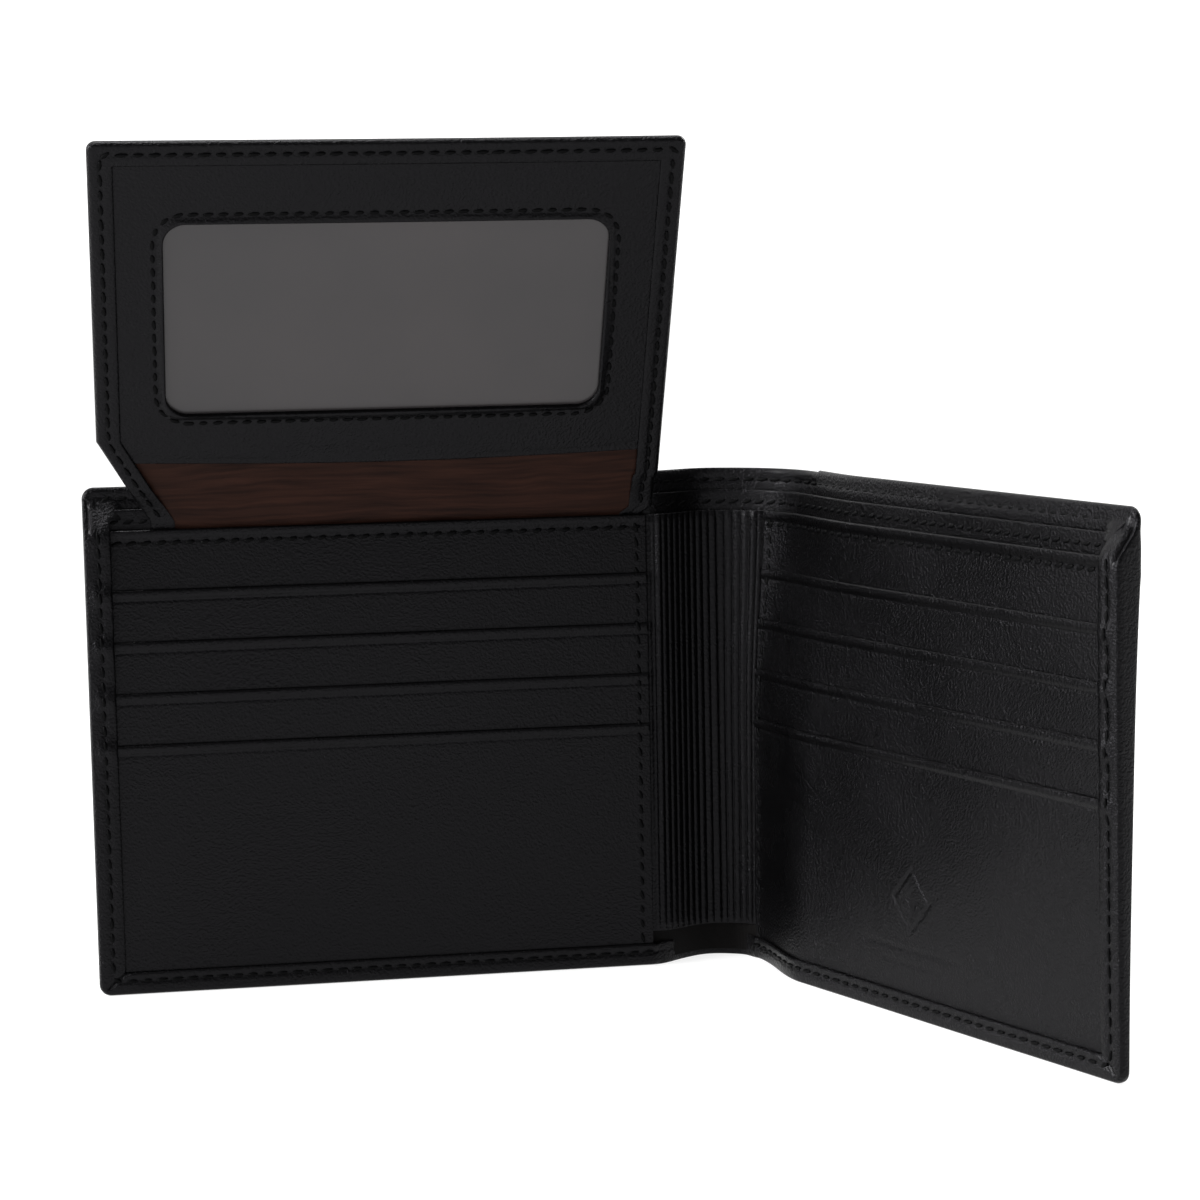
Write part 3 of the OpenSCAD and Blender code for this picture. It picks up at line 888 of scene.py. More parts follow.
@dataclass
class Sewing:
    """Rows of stitches that are sewn into one piece."""

    name: str
    tree: Tree
    materials: dict
    pitch: float = 2.8
    length: float = 2.15
    width: float = 0.7
    rise: float = 0.46
    hole: float = 0.9
    slant: float = 0.1
    seed: int = 3
    corners: list = field(default_factory=list)
    facings: list = field(default_factory=list)
    joins: list = field(default_factory=list)

    def row(self, path: Array, place: Place, back: bool = False) -> None:
        """Adds a row.

        Args:
            path: Leaf coordinates (across, depth, up) of the row's points.
            place: Turns leaf coordinates into the frame's.
            back: True for a row on a face that looks towards smaller depths.
        """
        u, d, z = dense(path, 0.7).T
        base = place(u, d, z)
        facing = inwards(place, u, d, z) * (-1.0 if back else 1.0)
        first = sum(len(c) for c in self.corners)
        self.corners.append(base + facing * 0.02)
        self.facings.append(facing)
        self.joins += [(first + i, first + i + 1) for i in range(len(base) - 1)]

    def make(self) -> Piece:
        """Sews all the rows and returns them as one piece."""
        mesh = bpy.data.meshes.new(self.name)
        mesh.from_pydata((np.concatenate(self.corners) * MM).tolist(), self.joins, [])
        piece = add_object(self.name, mesh)
        store(piece, "facing", "FLOAT_VECTOR", np.concatenate(self.facings))
        sizes = {"Pitch": self.pitch, "Length": self.length, "Width": self.width}
        sizes |= {"Rise": self.rise, "Hole Size": self.hole}
        values: dict = {label: size * MM for label, size in sizes.items()}
        values |= {"Slant": self.slant, "Seed": self.seed}
        values |= {"Thread": self.materials[Slot.THREAD], "Hole": self.materials["hole"]}
        return self.tree.run(piece, values)


@dataclass
class Workshop:
    """What every sub-assembly shares: the finishes, the node trees and the halves."""

    materials: dict
    stitches: Tree
    ribs: Tree
    halves: dict[Side, Half]

    def sewing(self, name: str, **sizes: float) -> Sewing:
        """Starts a new piece of sewing."""
        return Sewing(name, self.stitches, self.materials, **sizes)

    def piece(self, name: str, net: Net, place: Place, slot: Slot, *nodes: str) -> Piece:
        """Makes a piece, gives it its slot and says which CAD nodes it stands for."""
        made = make_piece(name, net, place, self.materials[slot])
        return self.stand(made, slot, *nodes)

    def stand(self, made: Piece, slot: Slot, *nodes: str) -> Piece:
        """Hides the CAD nodes that a piece stands for, and reports the piece and those nodes."""
        if nodes:
            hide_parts(*nodes)
        LOG.info("%s: %d faces, stands for %s", made.name, len(made.data.polygons), ", ".join(nodes))
        return made


def bend_with(piece: Piece, half: Half) -> None:
    """Bakes a piece's transform into its mesh; the fold between the half and the spine is found but the
    piece is not bent.
    """
    start, end = half.fold()
    if half.side is Side.LEFT:
        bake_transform(piece)
    else:
        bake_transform(piece)


# ------------------------------------------------------------------ the halves


@dataclass
class HalfBuild:
    """Everything on one half: shell, board, lining, divider, card panel, pockets and sewing."""

    shop: Workshop
    half: Half
    lip: float = 1.0
    leather: float = 0.6
    plain_fold: float = 1.3
    hem_widths: tuple[float, float, float] = (6.0, 5.0, 4.3)
    seam_in: float = 2.7
    top_seam: float = 2.2
    card_seam: float = 2.0
    card_top_seam: float = 2.5
    mouth_roll: float = 0.46
    mouth_crease: float = 1.9
    lap_at: float = 18.0
    lap_rise: float = 0.35
    mark_at: tuple[float, float] = (56.5, 21.3)
    mark_size: tuple[float, float] = (5.0, 5.6)
    mark_bars: tuple = ((12.2, 13.5), (9.6, 8.0))
    gusset_depths: tuple[float, float] = (2.75, 1.05)
    gusset_leather: float = 0.32
    rib_pitch: float = 1.36
    rib_height: float = 0.32
    pocket_swell: float = 0.75
    crease_depth: float = 0.35
    stamp_depth: float = 0.27
    top_lap: float = 0.3

    def __post_init__(self) -> None:
        """Reads this half's boxes from the frame."""
        box = self.half.box
        self.shell = box("shell")
        self.backing = box("card_backing")
        self.pockets = [box("card_pocket", f"_{number}") for number in range(1, 5)]
        self.mouths = [p.z1 for p in self.pockets]

    @property
    def tag(self) -> str:
        """The half's name."""
        return self.half.side.value

    def thickness(self, run: Array, z: Array) -> Array:
        """Returns how thick the wallet is inside its turned edge, at a run from mid-spine."""
        u = run - self.half.reach
        side = ramp(u, self.shell.u1 - 12.0, self.shell.u1 - 5.0)
        thick = 1.0 - ramp(z, 78.0 + 8.0 * side, 86.0 + 7.5 * side)
        full = ramp(u, self.backing.u0 - 6.5, self.backing.u0 + 0.5) * thick
        return self.plain_fold + (self.shell.d1 - self.plain_fold) * full

    def relief(self, run: Array, z: Array, share: Array) -> Array:
        """Returns how far the hem stands out over what it covers."""
        u = run - self.half.reach
        side = ramp(u, self.shell.u1 - 9.0, self.shell.u1 - 6.0)
        bumps = sum(hump(z, mouth - 0.9, 1.0) for mouth in self.mouths)
        swell = side * (self.pocket_swell * bumps + 0.2 * hump(z, 85.0, 2.0) + 0.1)
        if self.half.side is Side.RIGHT:
            swell = swell + self.lap_rise * ramp(u, self.lap_at, self.lap_at + 0.5) * ramp(z, 86.0, 88.5)
        mitre = (self.shell.u1 - u) * (self.hem_widths[2] / self.hem_widths[1]) - z
        crease = self.crease_depth * np.exp(-((mitre / 0.5) ** 2)) * side * (z < 6.0)
        return swell * np.sin(np.clip(share, 0.0, 1.0) * math.pi) ** 0.7 - crease

    def top_edge(self, u: Array, high: float) -> Array:
        """Returns the height of the shell's top edge, which steps up at the right half's lap."""
        lap = self.top_lap if self.half.side is Side.RIGHT else 0.0
        return high + lap * ramp(u, self.lap_at, self.lap_at + 0.5)

    def build_shell(self) -> None:
        """Makes the outer leather, turned in round its edges as a hem."""
        half = self.half
        length = self.shell.u1 + half.reach
        low, high = self.shell.z0, self.shell.z1
        turned = Turned(
            length=length,
            edges=lambda run: (np.full_like(run, low), self.top_edge(run - half.reach, high)),
            corner=2.2,
            widths=self.hem_widths,
            stack=self.thickness,
            relief=self.relief,
            leather=self.leather,
            lip=self.lip,
            seams=(self.top_seam, self.seam_in, self.seam_in),
        )
        lap = self.lap_at + half.reach
        fine = [(0.0, 26.0, 0.6), (lap - 0.4, lap + 1.0, 0.14), (length - 7.0, length, 0.35)]
        runs = lines(0.0, length, 1.25, fine=fine) / length
        height = high - low
        zones = [(0.0, 7.0, 0.35), (84.0, height, 0.5)]
        spans = lines(0.0, height, 1.25, fine=zones) / height
        net = turned.net(runs, spans)

        def place(run: Array, d: Array, z: Array) -> Array:
            return half.at(run - half.reach, d, z)

        nodes = [f"shell_{self.tag}"] + (["shell_spine"] if half.side is Side.LEFT else [])
        piece = self.shop.piece(f"shell_leather_{self.tag}", net, place, Slot.SHELL, *nodes)
        bend_with(piece, half)

    def sheet_net(self, box: Box, start: float, step: float = 2.2, lip: float = 0.2) -> Net:
        """Lays out a flat sheet that fills a box, from its own start across."""
        us = lines(start, box.u1, step, lip, fine=[(start, 18.0, 0.7)])
        zs = lines(box.z0, box.z1, step * 1.6, lip)
        return slab(us, zs, box.d0, box.d1, lip, cut=start < 0.0)

    def build_inside(self) -> None:
        """Makes the stiffener board, the lining, and the divider with its bound edge."""
        half, shop = self.half, self.shop
        board = half.box("stiffener")
        net, node = self.sheet_net(board, board.u0), f"stiffener_{self.tag}"
        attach(shop.piece(f"stiffener_board_{self.tag}", net, half.at, Slot.BOARD, node), half.body)
        spine = half.side is Side.LEFT
        for part, slot in (("lining", Slot.SATIN), ("divider", Slot.LINING)):
            box = half.box(part)
            nodes = [f"{part}_{self.tag}"] + ([f"{part}_spine"] if spine else [])
            net = self.sheet_net(box, -half.reach)
            piece = shop.piece(f"{part}_{self.tag}_sheet", net, half.at, slot, *nodes)
            bend_with(piece, half)
        trim = half.box("divider_trim")
        nodes = [f"divider_trim_{self.tag}"] + (["divider_trim_spine"] if spine else [])
        us = lines(-half.reach, trim.u1, 2.0, 0.3, fine=[(-half.reach, 18.0, 0.6)])
        zs = lines(trim.z0, trim.z1 + 0.25, 0.6, 0.45)
        front = trim.d1 + 0.12
        net = slab(us, zs, trim.d0, front, 0.45, cut=True)
        piece = shop.piece(f"divider_edge_{self.tag}", net, half.at, Slot.POCKET, *nodes)
        bend_with(piece, half)
        seam = shop.sewing(f"divider_edge_seam_{self.tag}", pitch=2.6, length=2.0, slant=0.3)
        height = trim.z1 - 2.0
        ends = (-half.reach + 1.3, trim.u1 - 2.0)
        seam.row(np.array([(u, front + 0.02, height) for u in ends]), half.at)
        bend_with(shop.stand(seam.make(), Slot.THREAD), half)

    def mouth_shape(self, z: Array, mouth: float) -> Array:
        """Returns how far a pocket's face stands out below its folded mouth."""
        below = mouth - z
        roll = self.mouth_roll * (1.0 - ramp(below, 0.9, 2.3))
        crease = 0.17 * hump(below, self.mouth_crease, 0.22)
        return roll - crease

    def panel_depth(self, u: Array, z: Array) -> Array:
        """Returns the depth of the card panel's front face."""
        z = np.asarray(z, float)
        depth = self.backing.d1 + self.mouth_shape(z, self.backing.z1)
        for box in self.pockets:
            depth = np.where(z < box.z1, box.d1 + self.mouth_shape(z, box.z1), depth)
        return depth + 0 * np.asarray(u, float)

    def mark(self, u: Array, z: Array) -> Array:
        """Returns the depth of the blind stamp: a lozenge ring over two plain bars."""
        if self.half.side is Side.LEFT:
            return np.zeros_like(u)
        x, y = u - self.mark_at[0], z - self.mark_at[1]
        lozenge = np.abs(x) / self.mark_size[0] + np.abs(y) / self.mark_size[1]
        edge = np.exp(-(((lozenge - 1.0) / 0.11) ** 2))
        bead = 0.12 * hump(lozenge, 1.0, 0.2)
        heart = 0.7 * (1.0 - ramp(lozenge, 0.25, 0.5))
        bars = 0.0 * u
        for height, half_width in self.mark_bars:
            away = np.maximum(np.abs(z - height) - 0.25, np.abs(x) - half_width)
            bars = bars + 0.8 * (1.0 - ramp(away, 0.0, 0.45))
        return bead - self.stamp_depth * np.clip(edge + heart + bars, 0.0, 1.0) - 0.1 * edge

    def build_cards(self) -> None:
        """Makes the card panel's backing, its four pockets and their sewing."""
        half, shop = self.half, self.shop
        back = self.backing
        us = lines(back.u0, back.u1, 1.6, 0.35)
        zs = lines(back.z0, back.z1, 2.4, 0.35, fine=[(back.z1 - 14.0, back.z1, 0.35)])
        net = slab(us, zs, back.d0, lambda u, z: back.d1 + self.mouth_shape(z, back.z1), 0.35)
        name = f"card_backing_{self.tag}"
        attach(shop.piece(f"card_panel_{self.tag}", net, half.at, Slot.POCKET, name), half.body)
        for number, box in enumerate(self.pockets, start=1):
            last = number == len(self.pockets)
            marked = last and half.side is Side.RIGHT
            zone_u = [(41.0, 72.0, 0.3)] if marked else []
            zone_z = [(box.z1 - 4.0, box.z1, 0.22)] + ([(8.0, 28.5, 0.3)] if marked else [])
            us = lines(box.u0, box.u1, 1.6, 0.55, fine=zone_u)
            zs = lines(box.z0, box.z1, 1.8, 0.55, fine=zone_z)

            def front(u: Array, z: Array, box: Box = box, last: bool = last) -> Array:
                face = box.d1 + self.mouth_shape(z, box.z1)
                return face + (self.mark(u, z) if last else 0.0)

            net = slab(us, zs, box.d0, front, 0.55)
            node = f"card_pocket_{self.tag}_{number}"
            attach(shop.piece(f"{node}_leather", net, half.at, Slot.POCKET, node), half.body)
        seam = shop.sewing(f"card_panel_seam_{self.tag}", pitch=2.7, length=1.95, width=0.82, slant=0.28)
        inner, outer = back.u0 + self.card_seam, self.shell.u1 - self.hem_widths[1] - 1.0
        height = back.z1 - self.card_top_seam
        top = np.array([(u, 0.0, height) for u in np.linspace(outer, inner, 60)])
        down = np.array([(inner, 0.0, z) for z in np.linspace(height, self.hem_widths[2] + 1.2, 160)])
        for path in (top, down):
            path[:, 1] = self.panel_depth(path[:, 0], path[:, 2])
            seam.row(path, half.at)
        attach(shop.stand(seam.make(), Slot.THREAD, f"seam_card_{self.tag}"), half.body)

    def build_shell_seam(self) -> None:
        """Sews the shell's hem, which shows on the inside and on the outer face."""
        half = self.half
        seam = self.shop.sewing(f"shell_seam_{self.tag}")
        side, foot = self.shell.u1 - self.seam_in, self.shell.z0 + self.seam_in
        top = self.shell.z1 - self.top_seam
        around = [(side, 86.0), (side, foot + 1.0), (side - 1.0, foot), (self.backing.u0 + 1.0, foot)]
        seam.row(self._traced(around), half.at)
        rim = [(-half.reach + 1.4, top), (side - 1.0, top), (side, top - 1.0)]
        over = self._traced([*rim, (side, 91.0)])
        over[:, 1] = self.plain_fold
        seam.row(over, half.at)
        outside = [*rim, (side, foot + 1.0), (side - 1.0, foot), (-half.reach + 1.4, foot)]
        path = self._traced(outside)
        path[:, 1] = 0.0
        seam.row(path, half.at, back=True)
        bend_with(self.shop.stand(seam.make(), Slot.THREAD, f"seam_shell_{self.tag}"), half)

    def _traced(self, corners: Sequence[tuple[float, float]]) -> Array:
        """Returns a row's points along corners, on the hem's face."""
        flat = dense(corners, 1.0)
        run = flat[:, 0] + self.half.reach
        share = np.full(len(flat), 0.45)
        depth = self.thickness(run, flat[:, 1]) + self.relief(run, flat[:, 1], share) - 0.14
        return np.stack([flat[:, 0], depth, flat[:, 1]], axis=1)

    def build_gusset(self) -> None:
        """Makes this half's share of the ribbed gusset between the card panels."""
        half, shop = self.half, self.shop
        points = node_points("ribbed_gusset")
        low, high = points[:, 2].min(), self.backing.z1 - 0.1
        tuck = self.backing.u0
        us = lines(-half.reach, tuck + (0.4 if half.side is Side.LEFT else 2.0), 0.13)
        zs = lines(low, high, 3.2, 0.3, fine=[(high - 3.0, high, 0.5), (low, low + 3.0, 0.5)])

        def front(u: Array, z: Array) -> Array:
            least, more = self.gusset_depths
            return least + more * (1.0 - ramp(u, tuck - 2.6, tuck - 0.2))

        def back(u: Array, z: Array) -> Array:
            return front(u, z) - self.gusset_leather

        leather = shop.materials[Slot.POCKET]
        net = slab(us, zs, back, front, 0.25, cut=True)
        piece = make_piece(f"ribbed_gusset_{self.tag}", net, half.at, leather)
        u, d, z = net.points.T
        track = half.at(us, np.full_like(us, 3.5), np.full_like(us, 45.0))
        gone = np.concatenate([[0.0], np.cumsum(np.linalg.norm(np.diff(track, axis=0), axis=1))])
        store(piece, "across", "FLOAT", np.interp(u, us, gone) * MM)
        ends = ramp(z, low, low + 1.6) * (1.0 - ramp(z, high - 1.4, high))
        store(piece, "amount", "FLOAT", (1.0 - ramp(u, tuck - 1.2, tuck - 0.2)) * (0.35 + 0.65 * ends))
        store(piece, "facing", "FLOAT_VECTOR", inwards(half.at, u, d, z))
        ribs = {"Pitch": self.rib_pitch * MM, "Height": self.rib_height * MM, "Material": leather}
        shop.ribs.run(piece, ribs)
        nodes = ["ribbed_gusset"] if half.side is Side.LEFT else []
        bend_with(shop.stand(piece, Slot.POCKET, *nodes), half)

    def build(self) -> None:
        """Makes every piece of the half."""
        self.build_shell()
        self.build_inside()
        self.build_cards()
        self.build_gusset()
        self.build_shell_seam()


# --------------------------------------------------------------------- the flap


@dataclass
class FlapBuild:
    """The window flap, from its tongue behind the card panel to its free edge."""

    shop: Workshop
    left: Half
    tongue: float = 12.0
    bend_low: float = -1.8
    bend_high: float = 10.0
    neck_squeeze: float = 0.3
    hem_width: float = 4.4
    seam_in: float = 2.2
    notch: float = 8.0
    shoulder: float = 18.0
    tongue_depth: float = 2.7
    tongue_top: float = 86.8
    neck: tuple[float, float] = (86.3, 92.5)
    border: float = 4.0
    lining_in: float = 1.4
    neck_lean: float = 0.24
    notch_in: float = 0.5
    tongue_in: float = 1.9
    shoulder_in: float = 9.4
    corner: float = 4.0
    lip_rise: float = 0.62
    window_seam_out: float = 1.8

    def __post_init__(self) -> None:
        """Reads the flap's fold line, its tilt and its layers from the frame."""
        hinge = joint_place("flap_fold")
        self.origin = np.array([self.left.axis[0], hinge[1], hinge[2]])
        run = plate_run("flap_window_film", (1, 2))
        self.up = run * math.copysign(1.0, run[1])
        self.behind = np.array([self.up[1], -self.up[0]])
        parts = ("back", "hem", "window_panel", "window_film", "lining")
        self.back, self.hem, self.panel, self.film, self.lining = (self.box(f"flap_{p}") for p in parts)
        self.stack = self.back.d1 - self.hem.d0
        self.middle = (self.back.d1 + self.hem.d0) / 2.0

    def box(self, node: str) -> Box:
        """Returns where a CAD node of the flap lies on it, with d0 its front and d1 its back."""
        points = node_points(node)
        flat = points[:, 1:] - self.origin[1:]
        u, q, l = self.origin[0] - points[:, 0], flat @ self.behind, flat @ self.up
        return Box(u.min(), u.max(), q.min(), q.max(), l.min(), l.max())

    def at(self, u: Array, d: Array, l: Array) -> Array:
        """Returns points in the frame, in millimetres.

        Args:
            u: Distance outwards from the left fold line.
            d: Depth forwards from the flap's back face.
            l: Distance up along the flap from its fold line.

        Returns:
            One point for each, as rows of x, y and z.
        """
        u, d, l = np.broadcast_arrays(*(np.asarray(v, float) for v in (u, d, l)))
        centre = self.origin[1:] + self.middle * self.behind
        low = np.array([self.left.axis[1] + self.left.face - self.tongue_depth, self.tongue_top])
        high = centre + self.bend_high * self.up
        reach = self.bend_high - self.bend_low
        start_way = np.array([-math.sin(self.neck_lean), math.cos(self.neck_lean)]) * reach
        end_way = self.up * reach
        t = np.clip((l - self.bend_low) / reach, 0.0, 1.0)[..., None]
        spot = curve(t, low, start_way, high, end_way)
        way = (
            low * (6 * t**2 - 6 * t)
            + start_way * (3 * t**2 - 4 * t + 1)
            + high * (6 * t - 6 * t**2)
            + end_way * (3 * t**2 - 2 * t)
        )
        way = way / np.linalg.norm(way, axis=-1)[..., None]
        below = np.clip(self.bend_low - l, 0.0, None)[..., None]
        above = np.clip(l - self.bend_high, 0.0, None)[..., None]
        spot = spot + above * self.up - below * np.array([0.0, 1.0])
        way = np.where(below > 0.0, np.array([0.0, 1.0]), way)
        squeeze = self.neck_squeeze + (1.0 - self.neck_squeeze) * ramp(l, 0.0, 9.0)
        forward = (d - self.stack / 2.0) * squeeze
        ahead = np.stack([-way[..., 1], way[..., 0]], axis=-1)
        sag = 0.25 * np.sin(u / 31.0 + 0.4) * ramp(l, 16.0, 70.0)
        spot = spot + (forward + sag)[..., None] * ahead
        return np.concatenate([(self.origin[0] - u)[..., None], spot], axis=-1)

    def depth(self, behind: float) -> float:
        """Returns the depth forwards from the back face of a distance behind the fold line."""
        return self.back.d1 - behind

    def sides(self, l: Array) -> tuple[Array, Array]:
        """Returns the flap's inner and outer edge at a distance up from its fold line."""
        inner = self.back.u0 + self.notch_in * (1.0 - ramp(l, self.notch - 1.0, self.notch + 0.4))
        inner = inner + self.tongue_in * (1.0 - ramp(l, -1.5, 0.5))
        slope = np.clip(1.0 - l / self.shoulder, 0.0, 1.0)
        return inner, self.back.u1 - self.shoulder_in * slope

    def build_leather(self) -> None:
        """Makes the back leather with its turned hem and its tongue."""
        length = self.back.z1 + self.tongue

        def edges(run: Array) -> tuple[Array, Array]:
            return self.sides(run - self.tongue)

        def puff(run: Array, span: Array, share: Array) -> Array:
            swell = 0.1 * np.sin(np.clip(share, 0.0, 1.0) * math.pi)
            return swell * ramp(run - self.tongue, 2.0, 12.0)

        turned = Turned(
            length=length,
            edges=edges,
            corner=1.6,
            widths=(self.hem_width, self.hem_width, self.hem_width),
            stack=lambda run, span: np.full_like(run, self.stack),
            relief=puff,
            leather=0.5,
            lip=0.9,
            seams=(self.seam_in, self.seam_in, self.seam_in),
        )
        fine = [(8.0, 34.0, 0.5), (length - 7.0, length, 0.35)]
        runs = lines(0.0, length, 1.3, fine=fine) / length
        wide = self.back.u1 - self.back.u0
        spans = lines(0.0, wide, 1.3, fine=[(0.0, 6.0, 0.4), (wide - 6.0, wide, 0.4)]) / wide
        net = turned.net(runs, spans)

        def place(run: Array, d: Array, u: Array) -> Array:
            return self.at(u, d, run - self.tongue)

        nodes = ("flap_back", "flap_hem", "flap_tongue")
        self._bend(self.shop.piece("flap_leather", net, place, Slot.SHELL, *nodes))

    def _bend(self, piece: Piece) -> None:
        """Bakes a piece's transform into its mesh; the neck between the left half and the flap is found
        but the piece is not bent.
        """
        start, end = (np.array([0.0, self.origin[1], z]) * MM for z in self.neck)
        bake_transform(piece)

    def build_lining(self) -> None:
        """Makes the satin lining in front of the back leather."""
        low, high = -self.tongue + 2.0, self.lining.z1
        back, front = self.depth(self.lining.d1), self.depth(self.lining.d0)

        def place(share: Array, d: Array, l: Array) -> Array:
            inner, outer = self.sides(l)
            u = inner + self.lining_in + share * (outer - inner - 2.0 * self.lining_in)
            wrinkle = 0.16 * np.sin(u / 6.3 + np.sin(l / 4.0)) * hump(l, 8.0, 3.5)
            return self.at(u, d + wrinkle, l)

        zs = lines(low, high, 2.4, 0.12, fine=[(-2.0, 16.0, 0.5)])
        net = slab(np.linspace(0.0, 1.0, 90), zs, back, front, 0.02)
        piece = self.shop.piece("flap_satin", net, place, Slot.SATIN, "flap_lining")
        self._bend(piece)
        inner, outer = self.sides(np.linspace(low, high, 200))

    def opening(self) -> tuple[float, float, float, float]:
        """Returns the window's inner, outer, lower and upper edge."""
        box, border = self.film, self.border
        return box.u0 + border, box.u1 - border, box.z0 + border, box.z1 - border

    def outline(self, edges: tuple, radius: float, count: int) -> Array:
        """Returns points round a rectangle with round corners, the same share on each side.

        Args:
            edges: Inner, outer, lower and upper edge.
            radius: The corners' radius.
            count: Points on each side and on each corner.

        Returns:
            The points, as rows of u and l.
        """
        u0, u1, l0, l1 = edges
        centres = ((u1 - radius, l0 + radius), (u1 - radius, l1 - radius))
        centres += ((u0 + radius, l1 - radius), (u0 + radius, l0 + radius))
        found = []
        for quarter, (cu, cl) in enumerate(centres):
            turns = np.radians(-90.0 + 90.0 * quarter + np.linspace(0.0, 90.0, count))
            found.append(np.stack([cu + radius * np.cos(turns), cl + radius * np.sin(turns)], axis=1))
            nu, nl = centres[(quarter + 1) % 4]
            turn = turns[-1]
            start = found[-1][-1]
            end = np.array([nu + radius * math.cos(turn), nl + radius * math.sin(turn)])
            shares = np.linspace(0.0, 1.0, 4 * count)[1:-1, None]
            found.append(start + (end - start) * shares)
        return np.concatenate(found)

    def build_window(self) -> None:
        """Makes the window's leather frame with a rolled lip, and the film behind it."""
        panel, count = self.panel, 14
        outer = self.outline((panel.u0, panel.u1, panel.z0, panel.z1), 0.6, count)
        inner = self.outline(self.opening(), self.corner, count)
        droop = 0.9 * np.cos((outer[:, 0] - 55.0) / 26.0) * (outer[:, 1] < panel.z0 + 0.7)
        outer[:, 1] -= droop
        outer[:, 0] = np.minimum(outer[:, 0], self.sides(outer[:, 1])[1] - self.lining_in)
        back, front = self.depth(panel.d1), self.depth(panel.d0)
        wide = np.linalg.norm(outer - inner, axis=1)
        loops = []
        for share in TO_LIP:
            spot = outer + (inner - outer) * share
            from_lip, from_edge = (1.0 - share) * wide, share * wide
            lift = self.lip_rise * np.exp(-((from_lip / 1.5) ** 2)) - 0.2 * hump(from_lip, 1.8, 0.3)
            foot = outer[:, 1] < panel.z0 + 1.5
            lift = lift - 0.2 * foot * (hump(from_edge, 1.0, 0.2) + hump(from_edge, 2.2, 0.22))
            near = np.minimum(from_lip, from_edge)
            round_off = 0.3 * np.clip(1.0 - near / 0.4, 0.0, 1.0) ** 2
            loops.append(np.stack([spot[:, 0], front + lift - round_off, spot[:, 1]], axis=1))
        for share in (1.0, 0.6, 0.3, 0.0):
            spot = outer + (inner - outer) * share
            loops.append(np.stack([spot[:, 0], np.full(len(spot), back + 0.02), spot[:, 1]], axis=1))
        net = ring(np.stack(loops, axis=1))
        frame_piece = self.shop.piece("window_frame", net, self.at, Slot.SHELL, "flap_window_panel")
        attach(frame_piece, "flap")
        film = self.film
        low, high = self.depth(film.d1), self.depth(film.d0)

        def bow(u: Array, l: Array) -> Array:
            return 0.1 * np.sin((u - film.u0) / 17.0) * np.sin((l - film.z0) / 11.0)

        us, ls = lines(film.u0, film.u1, 1.5, 0.1), lines(film.z0, film.z1, 1.5, 0.1)
        net = slab(us, ls, low, lambda u, z: high + bow(u, z) * 0.5, 0.08)
        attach(self.shop.piece("window_film", net, self.at, Slot.FILM, "flap_window_film"), "flap")

    def build_seams(self) -> None:
        """Sews the hem's row on both faces, and the row round the window."""
        inset = self.seam_in
        rise = np.linspace(2.0, self.back.z1 - inset, 120)
        inner, outer = self.sides(rise)
        up = np.stack([inner + inset, 0 * rise, rise], axis=1)
        down = np.stack([outer - inset, 0 * rise, rise], axis=1)[::-1]
        path = np.concatenate([up, down])
        seam = self.shop.sewing("flap_hem_seam")
        path[:, 1] = self.stack
        seam.row(path, self.at)
        path[:, 1] = 0.0
        path = path[path[:, 2] > 3.0]
        seam.row(path, self.at, back=True)
        self._bend(self.shop.stand(seam.make(), Slot.THREAD, "seam_flap"))
        out = self.window_seam_out
        u0, u1, l0, l1 = self.opening()
        ring_path = self.outline((u0 - out, u1 + out, l0 - out, l1 + out), self.corner + out, 10)
        ring_path = np.concatenate([ring_path, ring_path[:1]])
        depth = np.full(len(ring_path), self.depth(self.panel.d0))
        seam = self.shop.sewing("window_seam", pitch=2.6, length=1.9, width=0.78)
        seam.row(np.stack([ring_path[:, 0], depth, ring_path[:, 1]], axis=1), self.at)
        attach(self.shop.stand(seam.make(), Slot.THREAD, "seam_window"), "flap")

    def build(self) -> None:
        """Makes every piece of the flap."""
        self.build_leather()
        self.build_lining()
        self.build_window()
        self.build_seams()


# -------------------------------------------------------------------- the stage


@dataclass(frozen=True)
class Camera:
    """The camera, in millimetres and degrees."""

    place: tuple[float, float, float] = (-117.268, -565.142, 142.13)
    yaw: float = 9.585
    pitch: float = -7.1638
    roll: float = -0.9112
    lens: float = 90.308

    def make(self) -> None:
        """Adds the camera to the scene."""
        yaw, pitch, roll = (math.radians(v) for v in (self.yaw, self.pitch, self.roll))
        ahead = Vector(
            (math.sin(yaw) * math.cos(pitch), math.cos(yaw) * math.cos(pitch), math.sin(pitch))
        )
        level = Vector((math.cos(yaw), -math.sin(yaw), 0.0))
        up = level.cross(ahead)
        right = math.cos(roll) * level + math.sin(roll) * up
        top = -math.sin(roll) * level + math.cos(roll) * up
        data = bpy.data.cameras.new("camera")
        data.lens = self.lens
        data.sensor_width = 36.0
        data.clip_start = 0.01
        data.clip_end = 60.0
        camera = add_object("camera", data)
        turn = Matrix((right, top, -ahead)).transposed().to_4x4()
        camera.matrix_world = Matrix.Translation(Vector(self.place) * MM) @ turn
        bpy.context.scene.camera = camera


@dataclass(frozen=True)
class Lamp:
    """A soft square lamp that points at the wallet."""

    name: str
    place: tuple[float, float, float]
    size: float
    watts: float

    def make(self) -> None:
        """Adds the lamp to the scene."""
        data = bpy.data.lights.new(self.name, "AREA")
        data.shape = "SQUARE"
        data.size = self.size
        data.energy = self.watts
        lamp = add_object(self.name, data)
        lamp.location = self.place
        aim = Vector(AIM) - Vector(self.place)
        lamp.rotation_mode = "QUATERNION"
        lamp.rotation_quaternion = aim.to_track_quat("-Z", "Y")


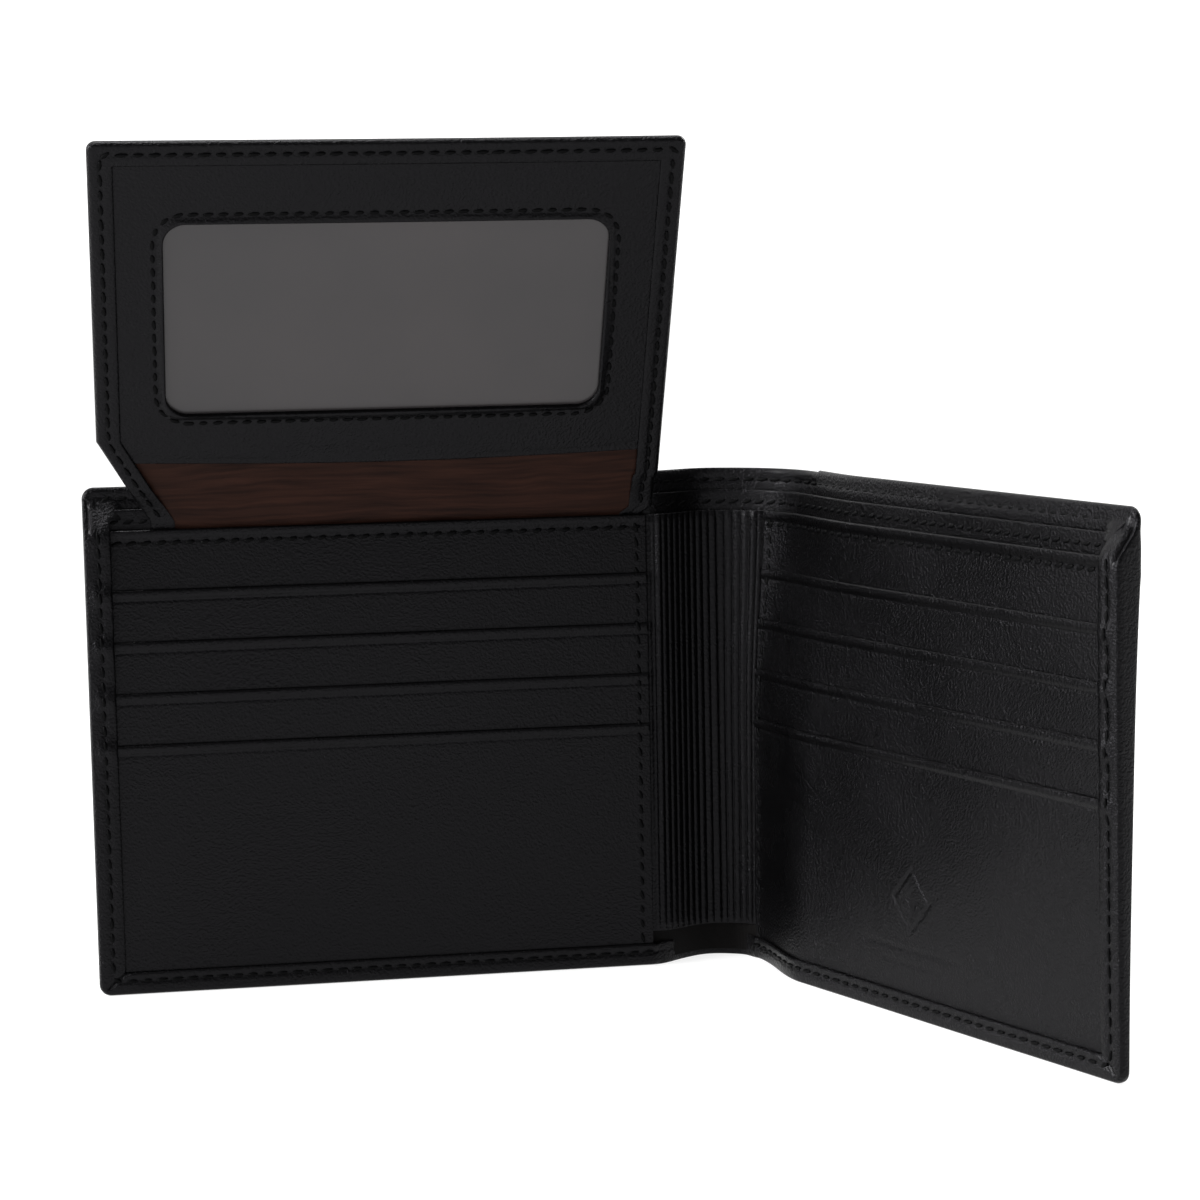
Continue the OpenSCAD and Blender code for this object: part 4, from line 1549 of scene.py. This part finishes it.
AIM = (0.0, -0.03, 0.06)
FLOOR_REACH = 6.0
LAMPS = (
    Lamp("overhead", (-0.15, 0.1, 1.0), 0.3, 6.0),
    Lamp("left_side", (-1.0, -0.17, 0.42), 0.26, 13.5),
    Lamp("right_back", (0.7, 0.6, 0.6), 0.3, 4.5),
)


def make_stage() -> None:
    """Makes the floor, the lamps and a pale surround."""
    mesh = bpy.data.meshes.new("floor")
    signs = ((-1, -1), (1, -1), (1, 1), (-1, 1))
    mesh.from_pydata([(FLOOR_REACH * x, FLOOR_REACH * y, 0.0) for x, y in signs], [], [(0, 1, 2, 3)])
    shader = Shader("floor_finish")
    tint = shader.colours(shader.noise(3.0, 1.0), [(0.0, 0.3, 0.3, 0.3), (1.0, 0.32, 0.32, 0.32)])
    rough = shader.spread(shader.noise(2.0, 1.0), 0.9, 0.95)
    flat = shader.bump(shader.noise(4.0, 1.0), 0.0)
    floor_finish = shader.dress(tint, rough, flat, Emission_Strength=0.82, Specular_IOR_Level=0.1)
    shader.surface.inputs["Emission Color"].default_value = (1.0, 1.0, 1.0, 1.0)
    mesh.materials.append(floor_finish)
    add_object("floor", mesh)
    world = bpy.data.worlds.new("surround")
    world.use_nodes = True
    sky = Nodes(world.node_tree)
    way = {0: sky.add("ShaderNodeTexCoord", output="Generated"), 1: (-0.45, 0.9, 0.0)}
    slope = sky.add("ShaderNodeVectorMath", way, "Value", operation="DOT_PRODUCT")
    fade = {"Value": slope, "From Min": -0.7, "From Max": 0.6, "To Min": 0.18, "To Max": 1.55}
    back = next(n for n in sky.tree.nodes if n.type == "BACKGROUND")
    sky.tree.links.new(sky.add("ShaderNodeMapRange", fade), back.inputs["Color"])
    back.inputs["Strength"].default_value = 1.0
    bpy.context.scene.world = world
    for lamp in LAMPS:
        lamp.make()


def main() -> None:
    """Builds the wallet, its stage and its camera."""
    logging.basicConfig(level=logging.INFO, format="%(name)s: %(message)s")
    bpy.context.scene.view_settings.view_transform = "Standard"
    Camera().make()
    make_stage()
    materials: dict = {slot: finish.material() for slot, finish in FINISHES.items()}
    materials["hole"] = HOLE_SHADE.material()
    shop = Workshop(materials, stitch_tree(), rib_tree(), find_halves())
    for half in shop.halves.values():
        HalfBuild(shop, half).build()
    FlapBuild(shop, shop.halves[Side.LEFT]).build()


if __name__ == "__main__":
    main()
